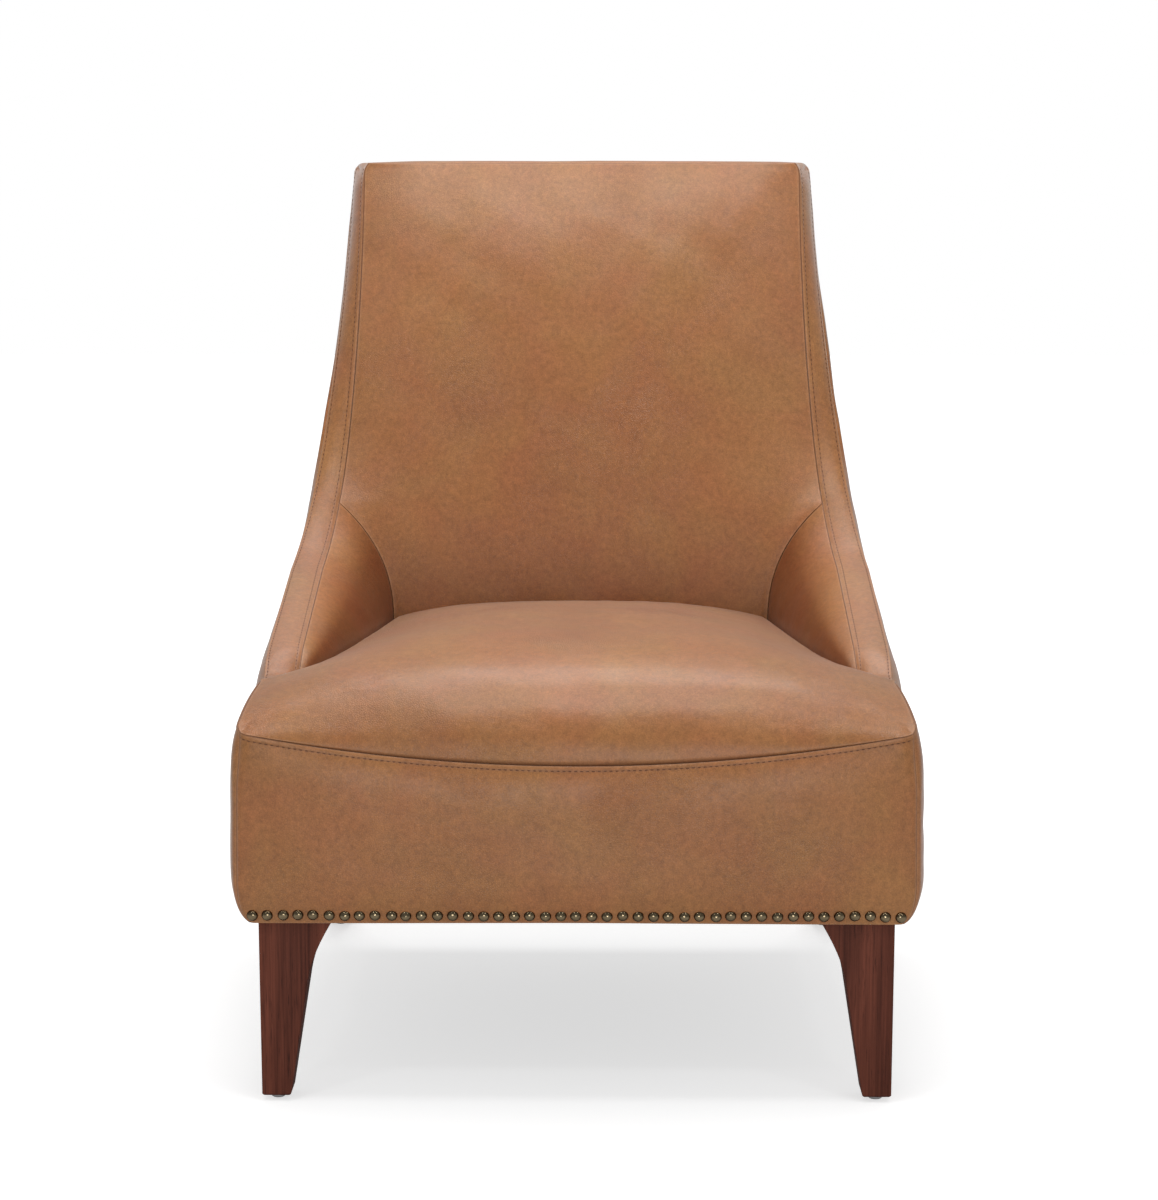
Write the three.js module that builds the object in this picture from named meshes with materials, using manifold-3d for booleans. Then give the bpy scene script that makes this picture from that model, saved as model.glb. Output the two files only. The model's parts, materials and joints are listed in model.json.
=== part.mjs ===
// A leather lounge chair with a high raked back whose wings sweep down into low sloping arms.
// Millimetres, +Z up, the front faces -Y, the right side of the model is +X.
// Each soft part is a skin of leather over a pad, and both are worked out from the same seams.
import * as THREE from "three";
import { mergeVertices } from "three/addons/utils/BufferGeometryUtils.js";
import Module from "manifold-3d";

const wasm = await Module();
wasm.setup();

// Clearances and sheet thicknesses
const gap = 0.3;
const leather = 2;
const underLeather = leather + gap;
const edgeGap = 0.4;
const bevelShare = 1.35;
const seatClearance = 1.2;
const padSlack = 0.9;
const underSkin = leather + padSlack;

// Outline of the upholstered body
const bodyBottom = 197;
const baseHalfWidth = 350;
const armNarrowing = 10;
const armHalfWidth = baseHalfWidth - armNarrowing;
const topNarrowing = 53;
const topHalfWidth = armHalfWidth - topNarrowing;
const backTop = 980;
const bodyDepth = 600;
const backThickness = 80;
const sideSwell = 14;
const wingSwell = 4;
const sidePad = 6;
const frontSwell = 10;
const rearSwell = 4;
const cornerTuck = 11;
const cornerTuckHeight = 35;

// Seat: heights along its side, its front and its middle
const seatSideHeight = 430;
const cornerSeamDrop = 33;
const cornerSeamHeight = seatSideHeight - cornerSeamDrop;
const frontSeamDip = 37;
const frontSeamHeight = cornerSeamHeight - frontSeamDip;
const seatCrown = 37;
const seatCrownHeight = seatSideHeight + seatCrown;
const seatRearDrop = 18;
const frontRollDepth = 300;
const deckDrop = 15;
const deckHeight = frontSeamHeight - deckDrop;
const armFrontDepth = 132;

// Arms and inside back
const armBorderWidth = 36;
const armInnerHalfWidth = armHalfWidth - armBorderWidth;
const armInnerFrontDepth = 173;
const armFootDrop = 14;
const armFrontDrop = 5;
const armFrontHeight = seatSideHeight - armFrontDrop;
const armInnerFrontRise = 2;
const armInnerFrontHeight = seatSideHeight + armInnerFrontRise;
const wingStartRise = 75;
const wingStartHeight = seatSideHeight + wingStartRise;
const armSeamRise = 63;
const armSeamHeight = wingStartHeight + armSeamRise;
const tubNarrowing = 75;
const tubRearHalfWidth = armInnerHalfWidth - tubNarrowing;
const tubRearDepth = bodyDepth - backThickness;
const tubFrontFlare = 18;
const tubHalfWidthLoss = 56;
const topBorderWidth = 14;
const topInnerHalfWidth = topHalfWidth - topBorderWidth;
const wingFoldHeight = 114;
const sweepRadius = 140;
const innerSweepRadius = 120;
const insideBackSwell = 10;
const topRoll = 10;
const borderSwell = 3;
const topSwell = 3;

// Frame of hardwood and plywood
const railRise = 6;
const railBottom = bodyBottom + railRise;
const deckRise = 30;
const railTop = deckHeight - deckRise;
const frontRailDepth = 18;
const frontRailThickness = 28;
const sideRailThickness = 34;
const railInset = 18;
const sideRailHalfWidth = baseHalfWidth - railInset;
const armPanelThickness = 15;
const armPanelInset = 6;
const armPanelOuter = sideRailHalfWidth - armPanelInset;
const armPanelRise = 10;
const armPanelTop = wingStartHeight + armPanelRise;
const armPanelDrop = 13;
const armPanelFront = 172;
const grooveDepth = 10;
const postThickness = 38;
const postWidth = 45;
const postInset = 9;
const crossRailThickness = 24;
const crestHeight = 70;
const lowerRailHeight = 60;
const lowerRailDrop = 45;
const lowerRailBottom = seatSideHeight - lowerRailDrop;
const topClearance = 12;
const tenonLength = 18;
const tenonThickness = 12;
const tenonShoulder = 12;
const blockLeg = 112;
const blockHeight = 45;

// Springs and webbing
const springWire = 3.6;
const springSwing = 22;
const springPitch = 30;
const springRowInset = 134;
const springRowHalfWidth = baseHalfWidth - springRowInset;
const clipLength = 24;
const clipWidth = 30;
const clipHeight = 6.5;
const springCount = 5;
const feltThickness = 5;
const feltInset = 60;
const feltHalfWidth = baseHalfWidth - feltInset;
const feltFront = 22;
const feltBackInset = 16;
const feltBack = bodyDepth - feltBackInset;
const webThickness = 1.5;
const webWidth = 50;
const webCount = 4;
const webRise = 70;
const webTopDrop = 144;
const webFirstHeight = seatSideHeight + webRise;
const webSpacing = (backTop - webTopDrop - webFirstHeight) / (webCount - 1);
const webLap = 24;

// Legs, glides and their fixings
const legInset = 2;
const legOuter = sideRailHalfWidth - legInset;
const legTopWidth = 80;
const legStraightWidth = 60.5;
const legFootWidth = 30.5;
const haunchDrop = 66;
const haunchHeight = bodyBottom - haunchDrop;
const haunchBendDrop = 37;
const haunchBend = bodyBottom - haunchBendDrop;
const glideHeight = 5;
const glideRadius = 8;
const glideStemRadius = 2;
const glideStem = 14;
const legFront = 18;
const legTopBack = 82;
const legStraightBack = 70;
const legFootBack = 52;
const rearLegInset = 14;
const rearLegKick = 72;
const rearLegTopDepth = 74;
const rearLegStraightDepth = 60;
const rearLegFootDepth = 34;
const footChamfer = 2.5;
const boltRadius = 4;
const boltInLeg = 26;
const boltFromSide = 45;
const frontBoltDepth = 60;
const rearBoltInset = 52;
const washerRadius = 9;
const washerThickness = 1.5;
const nutRadius = 6.5;
const nutHeight = 6.5;
const boltTail = 4;
const dustThickness = 1.2;

// Decorative nails along the front edge
const nailCount = 43;
const nailRadius = 5.5;
const nailRise = 3.6;
const nailFromBottom = 11;
const nailRowInset = 15;
const nailRowHalfWidth = baseHalfWidth - nailRowInset;
const nailRoot = 1;

// Slopes, and shares of the forms' own lengths
const insideRakeDegrees = 17;
const insideRakeShare = Math.tan(THREE.MathUtils.degToRad(insideRakeDegrees));
const wingEdgeRakeShare = 0.388;
const armSlopeShare = 0.287;
const sweepTailShare = 1.4;
const innerTailShare = 2.2;
const seatRollShare = 5;
const seatCrownShare = 3;
const armPadShare = 1.8;
const armFlareShare = 5;
const pillowShare = 5;
const wrapShare = 4;
const padUnderBorderShare = 0.72;
const nailShoulderShares = [0.7, 0.8];

// Steps of the grids
const lobeSteps = 4;
const armSteps = 7;
const wingSteps = 7;
const acrossSteps = 10;
const sideSteps = 6;
const armPadSteps = 3;
const nailSides = 6;
const boltSides = 8;
const glideSides = 12;
const springBendSteps = 3;

const stationCount = armSteps + wingSteps;
const colours = {
  leather: 0xb57a4c,
  foam: 0xe9dcae,
  wood: 0xc9a26e,
  stainedWood: 0x52231a,
  steel: 0x9a9a98,
  felt: 0x6d6a66,
  cloth: 0x2a2a2c,
  web: 0x8f7b55,
  glide: 0xc9cbcc,
};

const chair = new THREE.Group();
const lerp = THREE.MathUtils.lerp;
const clamp = THREE.MathUtils.clamp;
const point = (x, y, z) => new THREE.Vector3(x, y, z);
const sides = { right: 1, left: -1 };

// Adds one named piece with its own material.
function addPiece(name, geometry, colour, roughness = 0.8, metalness = 0, parent = chair) {
  const material = new THREE.MeshStandardMaterial({ color: colour, roughness, metalness });
  const mesh = new THREE.Mesh(geometry, material);
  mesh.name = name;
  parent.add(mesh);
  return mesh;
}

// Geometry to solid and back, for cuts and joins.
function toSolid(geometry) {
  const bare = geometry.clone();
  bare.deleteAttribute("normal");
  bare.deleteAttribute("uv");
  const merged = mergeVertices(bare, 1e-3);
  return new wasm.Manifold(
    new wasm.Mesh({
      numProp: 3,
      vertProperties: new Float32Array(merged.attributes.position.array),
      triVerts: new Uint32Array(merged.index.array),
    }),
  );
}

function toGeometry(solid) {
  const mesh = solid.getMesh();
  return new THREE.BufferGeometry()
    .setAttribute("position", new THREE.BufferAttribute(mesh.vertProperties, 3))
    .setIndex(new THREE.BufferAttribute(mesh.triVerts, 1));
}

const cut = (geometry, ...tools) =>
  toGeometry(tools.reduce((solid, tool) => solid.subtract(toSolid(tool)), toSolid(geometry)));
const join = (geometry, ...others) =>
  toGeometry(others.reduce((solid, other) => solid.add(toSolid(other)), toSolid(geometry)));

// A grid of points: rows of Vector3, worked out from row and column numbers.
const makeGrid = (rows, columns, at) =>
  Array.from({ length: rows + 1 }, (_, i) => Array.from({ length: columns + 1 }, (_, j) => at(i, j)));

// The closed solid between two grids of the same size, turned to face outwards.
function solidBetween(front, back) {
  const rows = front.length;
  const columns = front[0].length;
  const positions = [...front.flat(), ...back.flat()].flatMap((p) => [p.x, p.y, p.z]);
  const faces = [];
  const id = (layer, i, j) => layer * rows * columns + i * columns + j;
  const quad = (a, b, c, d) => faces.push(a, b, c, a, c, d);
  for (let i = 0; i < rows - 1; i++)
    for (let j = 0; j < columns - 1; j++) {
      quad(id(0, i, j), id(0, i, j + 1), id(0, i + 1, j + 1), id(0, i + 1, j));
      quad(id(1, i, j), id(1, i + 1, j), id(1, i + 1, j + 1), id(1, i, j + 1));
    }
  const rim = [];
  for (let j = 0; j < columns - 1; j++) rim.push([0, j]);
  for (let i = 0; i < rows - 1; i++) rim.push([i, columns - 1]);
  for (let j = columns - 1; j > 0; j--) rim.push([rows - 1, j]);
  for (let i = rows - 1; i > 0; i--) rim.push([i, 0]);
  rim.forEach(([i, j], k) => {
    const [ni, nj] = rim[(k + 1) % rim.length];
    quad(id(0, ni, nj), id(0, i, j), id(1, i, j), id(1, ni, nj));
  });
  const at = (k) => point(...positions.slice(3 * k, 3 * k + 3));
  let volume = 0;
  for (let k = 0; k < faces.length; k += 3)
    volume += at(faces[k]).dot(at(faces[k + 1]).cross(at(faces[k + 2])));
  if (volume < 0) faces.reverse();
  return new THREE.BufferGeometry()
    .setAttribute("position", new THREE.Float32BufferAttribute(positions, 3))
    .setIndex(faces);
}

// Unit normals of a grid, on the side that the given direction points to.
function gridNormals(grid, outward) {
  const last = [grid.length - 1, grid[0].length - 1];
  const normals = grid.map((row, i) =>
    row.map((_, j) => {
      const along = grid[Math.min(i + 1, last[0])][j].clone().sub(grid[Math.max(i - 1, 0)][j]);
      const across = row[Math.min(j + 1, last[1])].clone().sub(row[Math.max(j - 1, 0)]);
      return along.cross(across).normalize();
    }),
  );
  const total = normals.flat().reduce((sum, n) => sum.add(n), point(0, 0, 0));
  if (total.dot(outward) < 0) normals.flat().forEach((n) => n.negate());
  return normals;
}

// The grid moved inwards by depth, with its rim drawn in along the surface.
function sunk(grid, outward, depth, rowRim, columnRim = () => rowRim) {
  const normals = gridNormals(grid, outward);
  const last = [grid.length - 1, grid[0].length - 1];
  const step = (from, to, length) => to.clone().sub(from).setLength(length);
  return grid.map((row, i) =>
    row.map((p, j) => {
      const moved = p.clone().addScaledVector(normals[i][j], -depth);
      if (i === 0) moved.add(step(p, grid[1][j], rowRim));
      if (i === last[0]) moved.add(step(p, grid[i - 1][j], rowRim));
      if (j === 0) moved.add(step(p, row[1], columnRim(i)));
      if (j === last[1]) moved.add(step(p, row[j - 1], columnRim(i)));
      return moved;
    }),
  );
}

// A leather skin: its edges are bevelled so that two skins meet along a seam.
const skin = (grid, outward) =>
  solidBetween(sunk(grid, outward, 0, edgeGap), sunk(grid, outward, leather, edgeGap + leather * bevelShare));

// Swell of a stuffed panel: full in the middle, nothing on its edges.
const pillow = (share) => 1 - Math.abs(2 * share - 1) ** pillowShare;

// Half-width of the body at a height, and of its side cover, whose foot is rounded under.
function bodyHalfWidth(z) {
  const rise = clamp((z - wingStartHeight) / (backTop - wingStartHeight), 0, 1);
  const wing = topHalfWidth + (armHalfWidth - topHalfWidth) * (1 - rise) ** sweepTailShare;
  const drop = clamp((wingStartHeight - z) / (wingStartHeight - bodyBottom), 0, 1);
  return z < wingStartHeight ? lerp(armHalfWidth, baseHalfWidth, drop) : wing;
}

const sideHalfWidth = (z) =>
  bodyHalfWidth(z) - cornerTuck * clamp(1 - (z - bodyBottom) / cornerTuckHeight, 0, 1) ** 2;

// Half-width of the wing's inner seam at a height.
function innerSeamHalfWidth(z) {
  const rise = clamp((z - wingStartHeight) / (backTop - wingStartHeight), 0, 1);
  return topInnerHalfWidth + (armInnerHalfWidth - topInnerHalfWidth) * (1 - rise) ** innerTailShare;
}

// Depths of the inside back and of the outside back at a height.
const insideDepth = (z) => tubRearDepth + insideRakeShare * (z - seatSideHeight);
const topDepth = insideDepth(backTop) + backThickness;
const rearRakeShare = (topDepth - bodyDepth) / (backTop - bodyBottom);
const rearDepth = (z) => bodyDepth + rearRakeShare * (z - bodyBottom);
const rearRake = Math.atan(rearRakeShare);

// Side view of a wing edge: along the arm, round the sweep and up the back.
function wingPath(startDepth, startHeight, footDepth, footHeight, rakePerHeight, radius) {
  const reach = footDepth - startDepth - rakePerHeight * footHeight;
  const height = (startHeight + armSlopeShare * reach) / (1 - armSlopeShare * rakePerHeight);
  const corner = new THREE.Vector2(footDepth + rakePerHeight * (height - footHeight), height);
  const onArm = new THREE.Vector2(1, armSlopeShare).setLength(-radius).add(corner);
  const onBack = new THREE.Vector2(rakePerHeight, 1).setLength(radius).add(corner);
  return new THREE.Path()
    .moveTo(startDepth, startHeight)
    .lineTo(onArm.x, onArm.y)
    .quadraticCurveTo(corner.x, corner.y, onBack.x, onBack.y)
    .lineTo(footDepth + rakePerHeight * (backTop - footHeight), backTop);
}

const armFootHeight = seatSideHeight - armFootDrop;
const wingFoot = [insideDepth(seatSideHeight + wingFoldHeight), seatSideHeight + wingFoldHeight];
const outerPath = wingPath(armFrontDepth, armFrontHeight, ...wingFoot, wingEdgeRakeShare, sweepRadius);
const innerPath = wingPath(
  armInnerFrontDepth,
  armInnerFrontHeight,
  tubRearDepth,
  seatSideHeight,
  insideRakeShare,
  innerSweepRadius,
);

// Share of a path's length at which it reaches a height, found by halving.
function shareAtHeight(path, height) {
  let [low, high] = [0, 1];
  for (let turn = 0; turn < 30; turn++) {
    const middle = (low + high) / 2;
    if (path.getPoint(middle).y < height) low = middle;
    else high = middle;
  }
  return low;
}

// The stations along a wing: armSteps up to the seam of arm and back, wingSteps above it.
const armSeamShare = shareAtHeight(innerPath, armSeamHeight);
const stationShare = (i) =>
  i <= armSteps
    ? (armSeamShare * i) / armSteps
    : lerp(armSeamShare, 1, (i - armSteps) / wingSteps);

function outerSeam(i) {
  const p = outerPath.getPoint(stationShare(i));
  return point(sideHalfWidth(p.y), p.x, p.y);
}

function innerSeam(i) {
  const p = innerPath.getPoint(stationShare(i));
  return point(innerSeamHalfWidth(p.y), p.x, p.y);
}

// The seat: a tight cushion with a lobe in front of each arm.
function seatSideAt(depth) {
  const share = clamp((depth - frontSwell) / (armInnerFrontDepth - frontSwell), 0, 1);
  return cornerSeamHeight + (seatSideHeight - cornerSeamHeight) * (1 - (1 - share) ** 2);
}

function seatHeight(u, depth) {
  const share = clamp((depth - frontSwell) / (frontRollDepth - frontSwell), 0, 1);
  const rise = (seatCrownHeight - frontSeamHeight) * (1 - (1 - share) ** seatRollShare);
  const rear = clamp((depth - frontRollDepth) / (tubRearDepth - frontRollDepth), 0, 1);
  const middle = frontSeamHeight + rise - seatRearDrop * rear ** 2;
  const power = lerp(2, seatCrownShare, share);
  return middle + (seatSideAt(depth) - middle) * Math.abs(u) ** power;
}

// Plan of the tub at seat level, at a station along the arm.
function tubHalfWidth(i) {
  const left = 1 - i / armSteps;
  const flare = tubFrontFlare * left ** armFlareShare;
  return tubRearHalfWidth + tubHalfWidthLoss * left + flare;
}

const tubDepth = (i) => lerp(armInnerFrontDepth, tubRearDepth, i / armSteps);
const lobeDepth = (k) => lerp(frontSwell, armFrontDepth, (k / lobeSteps) ** 2);
const seatRows = lobeSteps + 1 + armSteps;
const acrossShare = (j) => (2 * j) / acrossSteps - 1;

// One row of the seat: its half-width and its depth.
function seatRow(row) {
  if (row <= lobeSteps) {
    const depth = lobeDepth(row);
    return { half: sideHalfWidth(seatSideAt(depth)), depth, station: -1 };
  }
  const station = row - lobeSteps - 1;
  return { half: tubHalfWidth(station), depth: tubDepth(station), station };
}

// Depth of the inside back at a share of its width and a height.
function insideBackDepth(u, z) {
  const overSeam = z > armSeamHeight;
  const seam = overSeam
    ? innerPath.getPoint(shareAtHeight(innerPath, z)).x
    : z < armFootHeight
      ? insideDepth(z)
      : lerp(
          insideDepth(armFootHeight),
          innerPath.getPoint(armSeamShare).x,
          (z - armFootHeight) / (armSeamHeight - armFootHeight),
        );
  const share = clamp((z - seatSideHeight) / (backTop - seatSideHeight), 0, 1);
  const swell = insideBackSwell * Math.sin(Math.PI * share) * (1 - u * u);
  const roll = topRoll * share ** (2 * pillowShare) * (1 - Math.abs(u) ** wrapShare);
  return insideDepth(z) + (seam - insideDepth(z)) * Math.abs(u) ** wrapShare - swell + roll;
}

const seatGrid = makeGrid(seatRows, acrossSteps, (row, j) => {
  const { half, depth, station } = seatRow(row);
  const u = acrossShare(j);
  const z = seatHeight(u, depth);
  const y = station === armSteps ? insideBackDepth(u, z) - seatClearance : depth;
  return point(u * half, y, z);
});

// The inside arm: from below the seat up to the wing's inner seam.
const crevice = deckHeight + 2 * underLeather;
function armPoint(i, j) {
  const half = tubHalfWidth(i);
  const depth = tubDepth(i);
  const rakedDepth = (z) => depth - (i / armSteps) * (insideDepth(seatSideHeight) - insideDepth(z));
  if (j === 0) return point(half, rakedDepth(crevice), crevice);
  const top = innerSeam(i);
  const w = (j - 1) / armPadSteps;
  const foot = seatSideAt(depth) - armFootDrop;
  const x = half + (top.x - half) * w ** armPadShare;
  return point(x, lerp(rakedDepth(foot), top.y, w), lerp(foot, top.z, w));
}

const armGrid = makeGrid(armSteps, armPadSteps + 1, armPoint);

// The inside back: below the seam of arm and back it is as wide as the tub, above it as the wings.
const backRows = armPadSteps + 1 + wingSteps;
function backRim(row) {
  if (row <= armPadSteps + 1) return armPoint(armSteps, row);
  return innerSeam(armSteps + row - armPadSteps - 1);
}

const backGrid = makeGrid(backRows, acrossSteps, (row, j) => {
  const rim = backRim(row);
  const u = acrossShare(j);
  const atRim = Math.abs(u) === 1;
  return point(u * rim.x, atRim ? rim.y : insideBackDepth(u, rim.z), rim.z);
});

// The border that follows the wing from the arm's front to the top of the back.
const borderGrid = makeGrid(stationCount, 2, (i, j) => {
  const [inner, outer] = [innerSeam(i), outerSeam(i)];
  if (j === 0) return inner;
  if (j === 2) return outer;
  const along = outerSeam(Math.min(i + 1, stationCount)).sub(outerSeam(Math.max(i - 1, 0)));
  const lift = along.cross(outer.clone().sub(inner)).setLength(borderSwell);
  return inner.clone().lerp(outer, 0.5).sub(lift);
});

// The outside of the side: its top edge runs along the seat's lobe, the border and the top.
const sideColumns = lobeSteps + stationCount + 1;
const rearTop = point(topHalfWidth, topDepth, backTop);
function sideTop(column) {
  if (column < lobeSteps) {
    const row = seatRow(column);
    return point(row.half, row.depth, seatSideAt(row.depth));
  }
  if (column === sideColumns) return rearTop;
  return outerSeam(column - lobeSteps);
}

function sideFootDepth(column) {
  if (column < lobeSteps) return lobeDepth(column);
  return lerp(armFrontDepth, bodyDepth, (column - lobeSteps) / (sideColumns - lobeSteps));
}

// Share of a panel's height at a row: the first row ends where the foot is no longer rounded.
const rowShare = (row, topHeight) =>
  row ? lerp(cornerTuckHeight / (topHeight - bodyBottom), 1, (row - 1) / (sideSteps - 1)) : 0;

function sidePoint(column, row, swollen) {
  const top = sideTop(column);
  const share = rowShare(row, top.z);
  const y = lerp(sideFootDepth(column), top.y, share);
  const z = lerp(bodyBottom, top.z, share);
  const width = clamp((y - frontSwell) / (rearDepth(z) - frontSwell), 0, 1);
  const wing = clamp((z - seatSideHeight) / (wingStartHeight - seatSideHeight), 0, 1);
  const swell = lerp(sideSwell, wingSwell, wing) * pillow(width) * pillow(share);
  return point(sideHalfWidth(z) + (swollen ? swell : 0), y, z);
}

const sideGrid = makeGrid(sideColumns, sideSteps, (i, j) => sidePoint(i, j, true));
const sideBackingGrid = makeGrid(sideColumns, sideSteps, (i, j) => sidePoint(i, j, false));

// The front panel, from the bottom edge up to the front seam.
const frontGrid = makeGrid(sideSteps, acrossSteps, (row, j) => {
  const edge = sidePoint(0, row, false);
  const u = acrossShare(j);
  const top = seatHeight(u, frontSwell);
  const share = rowShare(row, top);
  const y = frontSwell * (1 - pillow(share) * pillow((u + 1) / 2));
  const z = lerp(bodyBottom, top, share);
  return point(u * edge.x, y, z);
});

// The outside back and the strip over the top.
const rearGrid = makeGrid(sideSteps, acrossSteps, (row, j) => {
  const edge = sidePoint(sideColumns, row, false);
  const u = acrossShare(j);
  const swell = rearSwell * pillow(rowShare(row, backTop)) * pillow((u + 1) / 2);
  return point(u * edge.x, edge.y + swell, edge.z);
});

const topRows = 3;
const topGrid = makeGrid(topRows, acrossSteps, (row, j) => {
  const u = acrossShare(j);
  const front = backGrid[backRows][j];
  if (row === 0) return front;
  const wingDepth = outerSeam(stationCount).y;
  const depth = lerp(wingDepth, topDepth, (row - 1) / (topRows - 1));
  const rise = topSwell * pillow(row / topRows) * pillow((u + 1) / 2);
  return point(u * topHalfWidth, depth, backTop + rise);
});

// Places in the raked back: depth is square to the outside back, and heights are the world's.
const postRear = -(underLeather + gap);
const postFace = postRear - postThickness;
const webFace = postFace - gap - webThickness;
const padFace = webFace - gap;
const rakedDepthAt = (face, z) => rearDepth(z) + face / Math.cos(rearRake);
const alongRake = (z, face = 0) => (z - bodyBottom + face * Math.sin(rearRake)) / Math.cos(rearRake);
const heightOnRake = (along, face) => bodyBottom + along * Math.cos(rearRake) - face * Math.sin(rearRake);

const flip = (grid, side) => grid.map((row) => row.map((p) => point(p.x * side, p.y, p.z)));
const ahead = point(0, -1, 0);
const behind = point(0, 1, 0);
const up = point(0, 0, 1);

function makeLeather() {
  const piece = (name, grid, outward) => addPiece(name, skin(grid, outward), colours.leather, 0.55);
  piece("seat_cover", seatGrid, up);
  piece("inside_back_cover", backGrid, ahead);
  piece("outside_back_cover", rearGrid, behind);
  piece("top_border", topGrid, up);
  for (const [word, side] of Object.entries(sides)) {
    piece(`side_cover_${word}`, flip(sideGrid, side), point(side, 0, 0));
    piece(`inside_arm_cover_${word}`, flip(armGrid, side), point(-side, 0, 0));
    piece(`wing_border_${word}`, flip(borderGrid, side), point(side, -1, 1));
  }
  const nails = Array.from({ length: nailCount }, (_, k) => nailAt(k));
  const panel = join(skin(frontGrid, ahead), ...nails);
  addPiece("front_panel_cover", panel, colours.leather, 0.55);
}

// One domed nail head of the row along the front edge, pressed into the leather.
function nailAt(k) {
  const x = lerp(-nailRowHalfWidth, nailRowHalfWidth, k / (nailCount - 1));
  const z = bodyBottom + nailFromBottom;
  const column = clamp(Math.floor(((x / baseHalfWidth + 1) / 2) * acrossSteps), 0, acrossSteps - 1);
  const [low, high] = [0, 1].map((row) => {
    const [left, right] = [frontGrid[row][column], frontGrid[row][column + 1]];
    return left.clone().lerp(right, (x - left.x) / (right.x - left.x));
  });
  const y = lerp(low.y, high.y, (z - low.z) / (high.z - low.z));
  const profile = [
    [0, -nailRoot],
    [nailRadius, -nailRoot],
    [nailRadius * nailShoulderShares[0], nailRise * nailShoulderShares[1]],
    [0, nailRise],
  ].map(([r, h]) => new THREE.Vector2(r, h));
  return new THREE.LatheGeometry(profile, nailSides).rotateX(Math.PI).translate(x, y, z);
}

function makePads() {
  const piece = (name, front, back) => addPiece(name, solidBetween(front, back), colours.foam, 0.95);

  // Seat: the lobes stop at the side padding, the rest at the arms and the back.
  const lobeRim = sidePad + underLeather + 2 * gap;
  const seatRim = (row) => (row <= lobeSteps ? lobeRim : edgeGap);
  const seatUpper = sunk(seatGrid, up, underSkin, underSkin, seatRim);
  const seatLower = makeGrid(seatRows, acrossSteps, (row, j) => {
    const { depth, station } = seatRow(row);
    const foot = station < 0 ? depth : armPoint(station, 0).y;
    const inside = row === 0 ? underLeather + gap : row === seatRows ? -seatClearance - underLeather : 0;
    return point(seatUpper[row][j].x, foot + inside, deckHeight + gap);
  });
  piece("seat_foam", seatUpper, seatLower);

  // Back: padded out to the wings above the arms.
  const backFront = sunk(backGrid, ahead, underSkin, underSkin);
  const backRear = backFront.map((row) => row.map((p) => point(p.x, rakedDepthAt(padFace, p.z), p.z)));
  piece("back_foam", backFront, backRear);

  const frontFace = sunk(frontGrid, ahead, underSkin, underSkin, () => lobeRim);
  const capped = frontFace.map((row) => row.map((p) => point(p.x, p.y, Math.min(p.z, deckHeight - gap))));
  const frontBack = capped.map((row) => row.map((p) => point(p.x, frontRailDepth - gap, p.z)));
  piece("front_pad", capped, frontBack);

  for (const [word, side] of Object.entries(sides)) {
    const outward = point(side, 0, 0);
    const rim = () => sidePad;
    const sideFace = sunk(flip(sideGrid, side), outward, underSkin, underSkin, rim);
    const sideRear = sunk(flip(sideBackingGrid, side), outward, underLeather + sidePad, underSkin, rim);
    piece(`side_padding_${word}`, sideFace, sideRear);
    piece(`arm_foam_${word}`, ...armFoam(side));
  }
}

// Height of the arm panel's sloping top edge at a depth.
const armPanelLine = (depth) => armFrontHeight + armSlopeShare * (depth - armFrontDepth) - armPanelDrop;

// The foam over an arm: inside face and top, hooked over the arm panel.
function armFoam(side) {
  const columns = armPadSteps + 2;
  const inside = point(-1, 0, 0);
  const noRim = () => 0;
  const face = sunk(armGrid, inside, underSkin, underSkin, noRim);
  const crown = sunk(borderGrid, point(1, -1, 1), underSkin, underSkin, noRim);
  const panelInner = armPanelOuter - armPanelThickness - gap;
  const front = makeGrid(armSteps, columns, (i, j) => {
    if (j < columns - 1) {
      const drop = j === columns - 2 ? crown[i][0].clone().sub(borderGrid[i][0]) : point(0, 0, 0);
      return face[i][j].clone().add(drop);
    }
    const [low, high] = j === columns - 1 ? [crown[i][0], crown[i][1]] : [crown[i][0], crown[i][2]];
    return low.clone().lerp(high, j === columns ? padUnderBorderShare : 0.5);
  });
  const back = front.map((row) =>
    row.map((p, j) => {
      const ceiling = armPanelLine(p.y) + gap;
      if (j < columns) return point(panelInner, p.y, Math.min(p.z, ceiling));
      return point(p.x, p.y, ceiling);
    }),
  );
  return [flip(front, side), flip(back, side)];
}

// Flat outlines pushed to a thickness along Y, X or Z.
function board(outline, thickness, basis, curveSegments = 8) {
  const shape = Array.isArray(outline)
    ? new THREE.Shape(outline.map(([a, b]) => new THREE.Vector2(a, b)))
    : outline;
  const geometry = new THREE.ExtrudeGeometry(shape, { depth: thickness, bevelEnabled: false, curveSegments });
  return geometry.applyMatrix4(new THREE.Matrix4().makeBasis(...basis));
}

const [xAxis, yAxis, zAxis] = [point(1, 0, 0), point(0, 1, 0), point(0, 0, 1)];
const boardAcross = (outline, from, to) =>
  board(outline, to - from, [xAxis, zAxis, yAxis.clone().negate()]).translate(0, to, 0);
const boardAlong = (outline, from, to) =>
  board(outline, to - from, [yAxis, zAxis, xAxis]).translate(from, 0, 0);
const boardFlat = (outline, from, to) =>
  board(outline, to - from, [xAxis, yAxis, zAxis]).translate(0, 0, from);

// A box from its low corner to its high corner, and the hole that it needs.
function block(low, high) {
  const size = high.map((value, k) => value - low[k]);
  const middle = high.map((value, k) => (value + low[k]) / 2);
  return new THREE.BoxGeometry(...size).translate(...middle);
}

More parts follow.
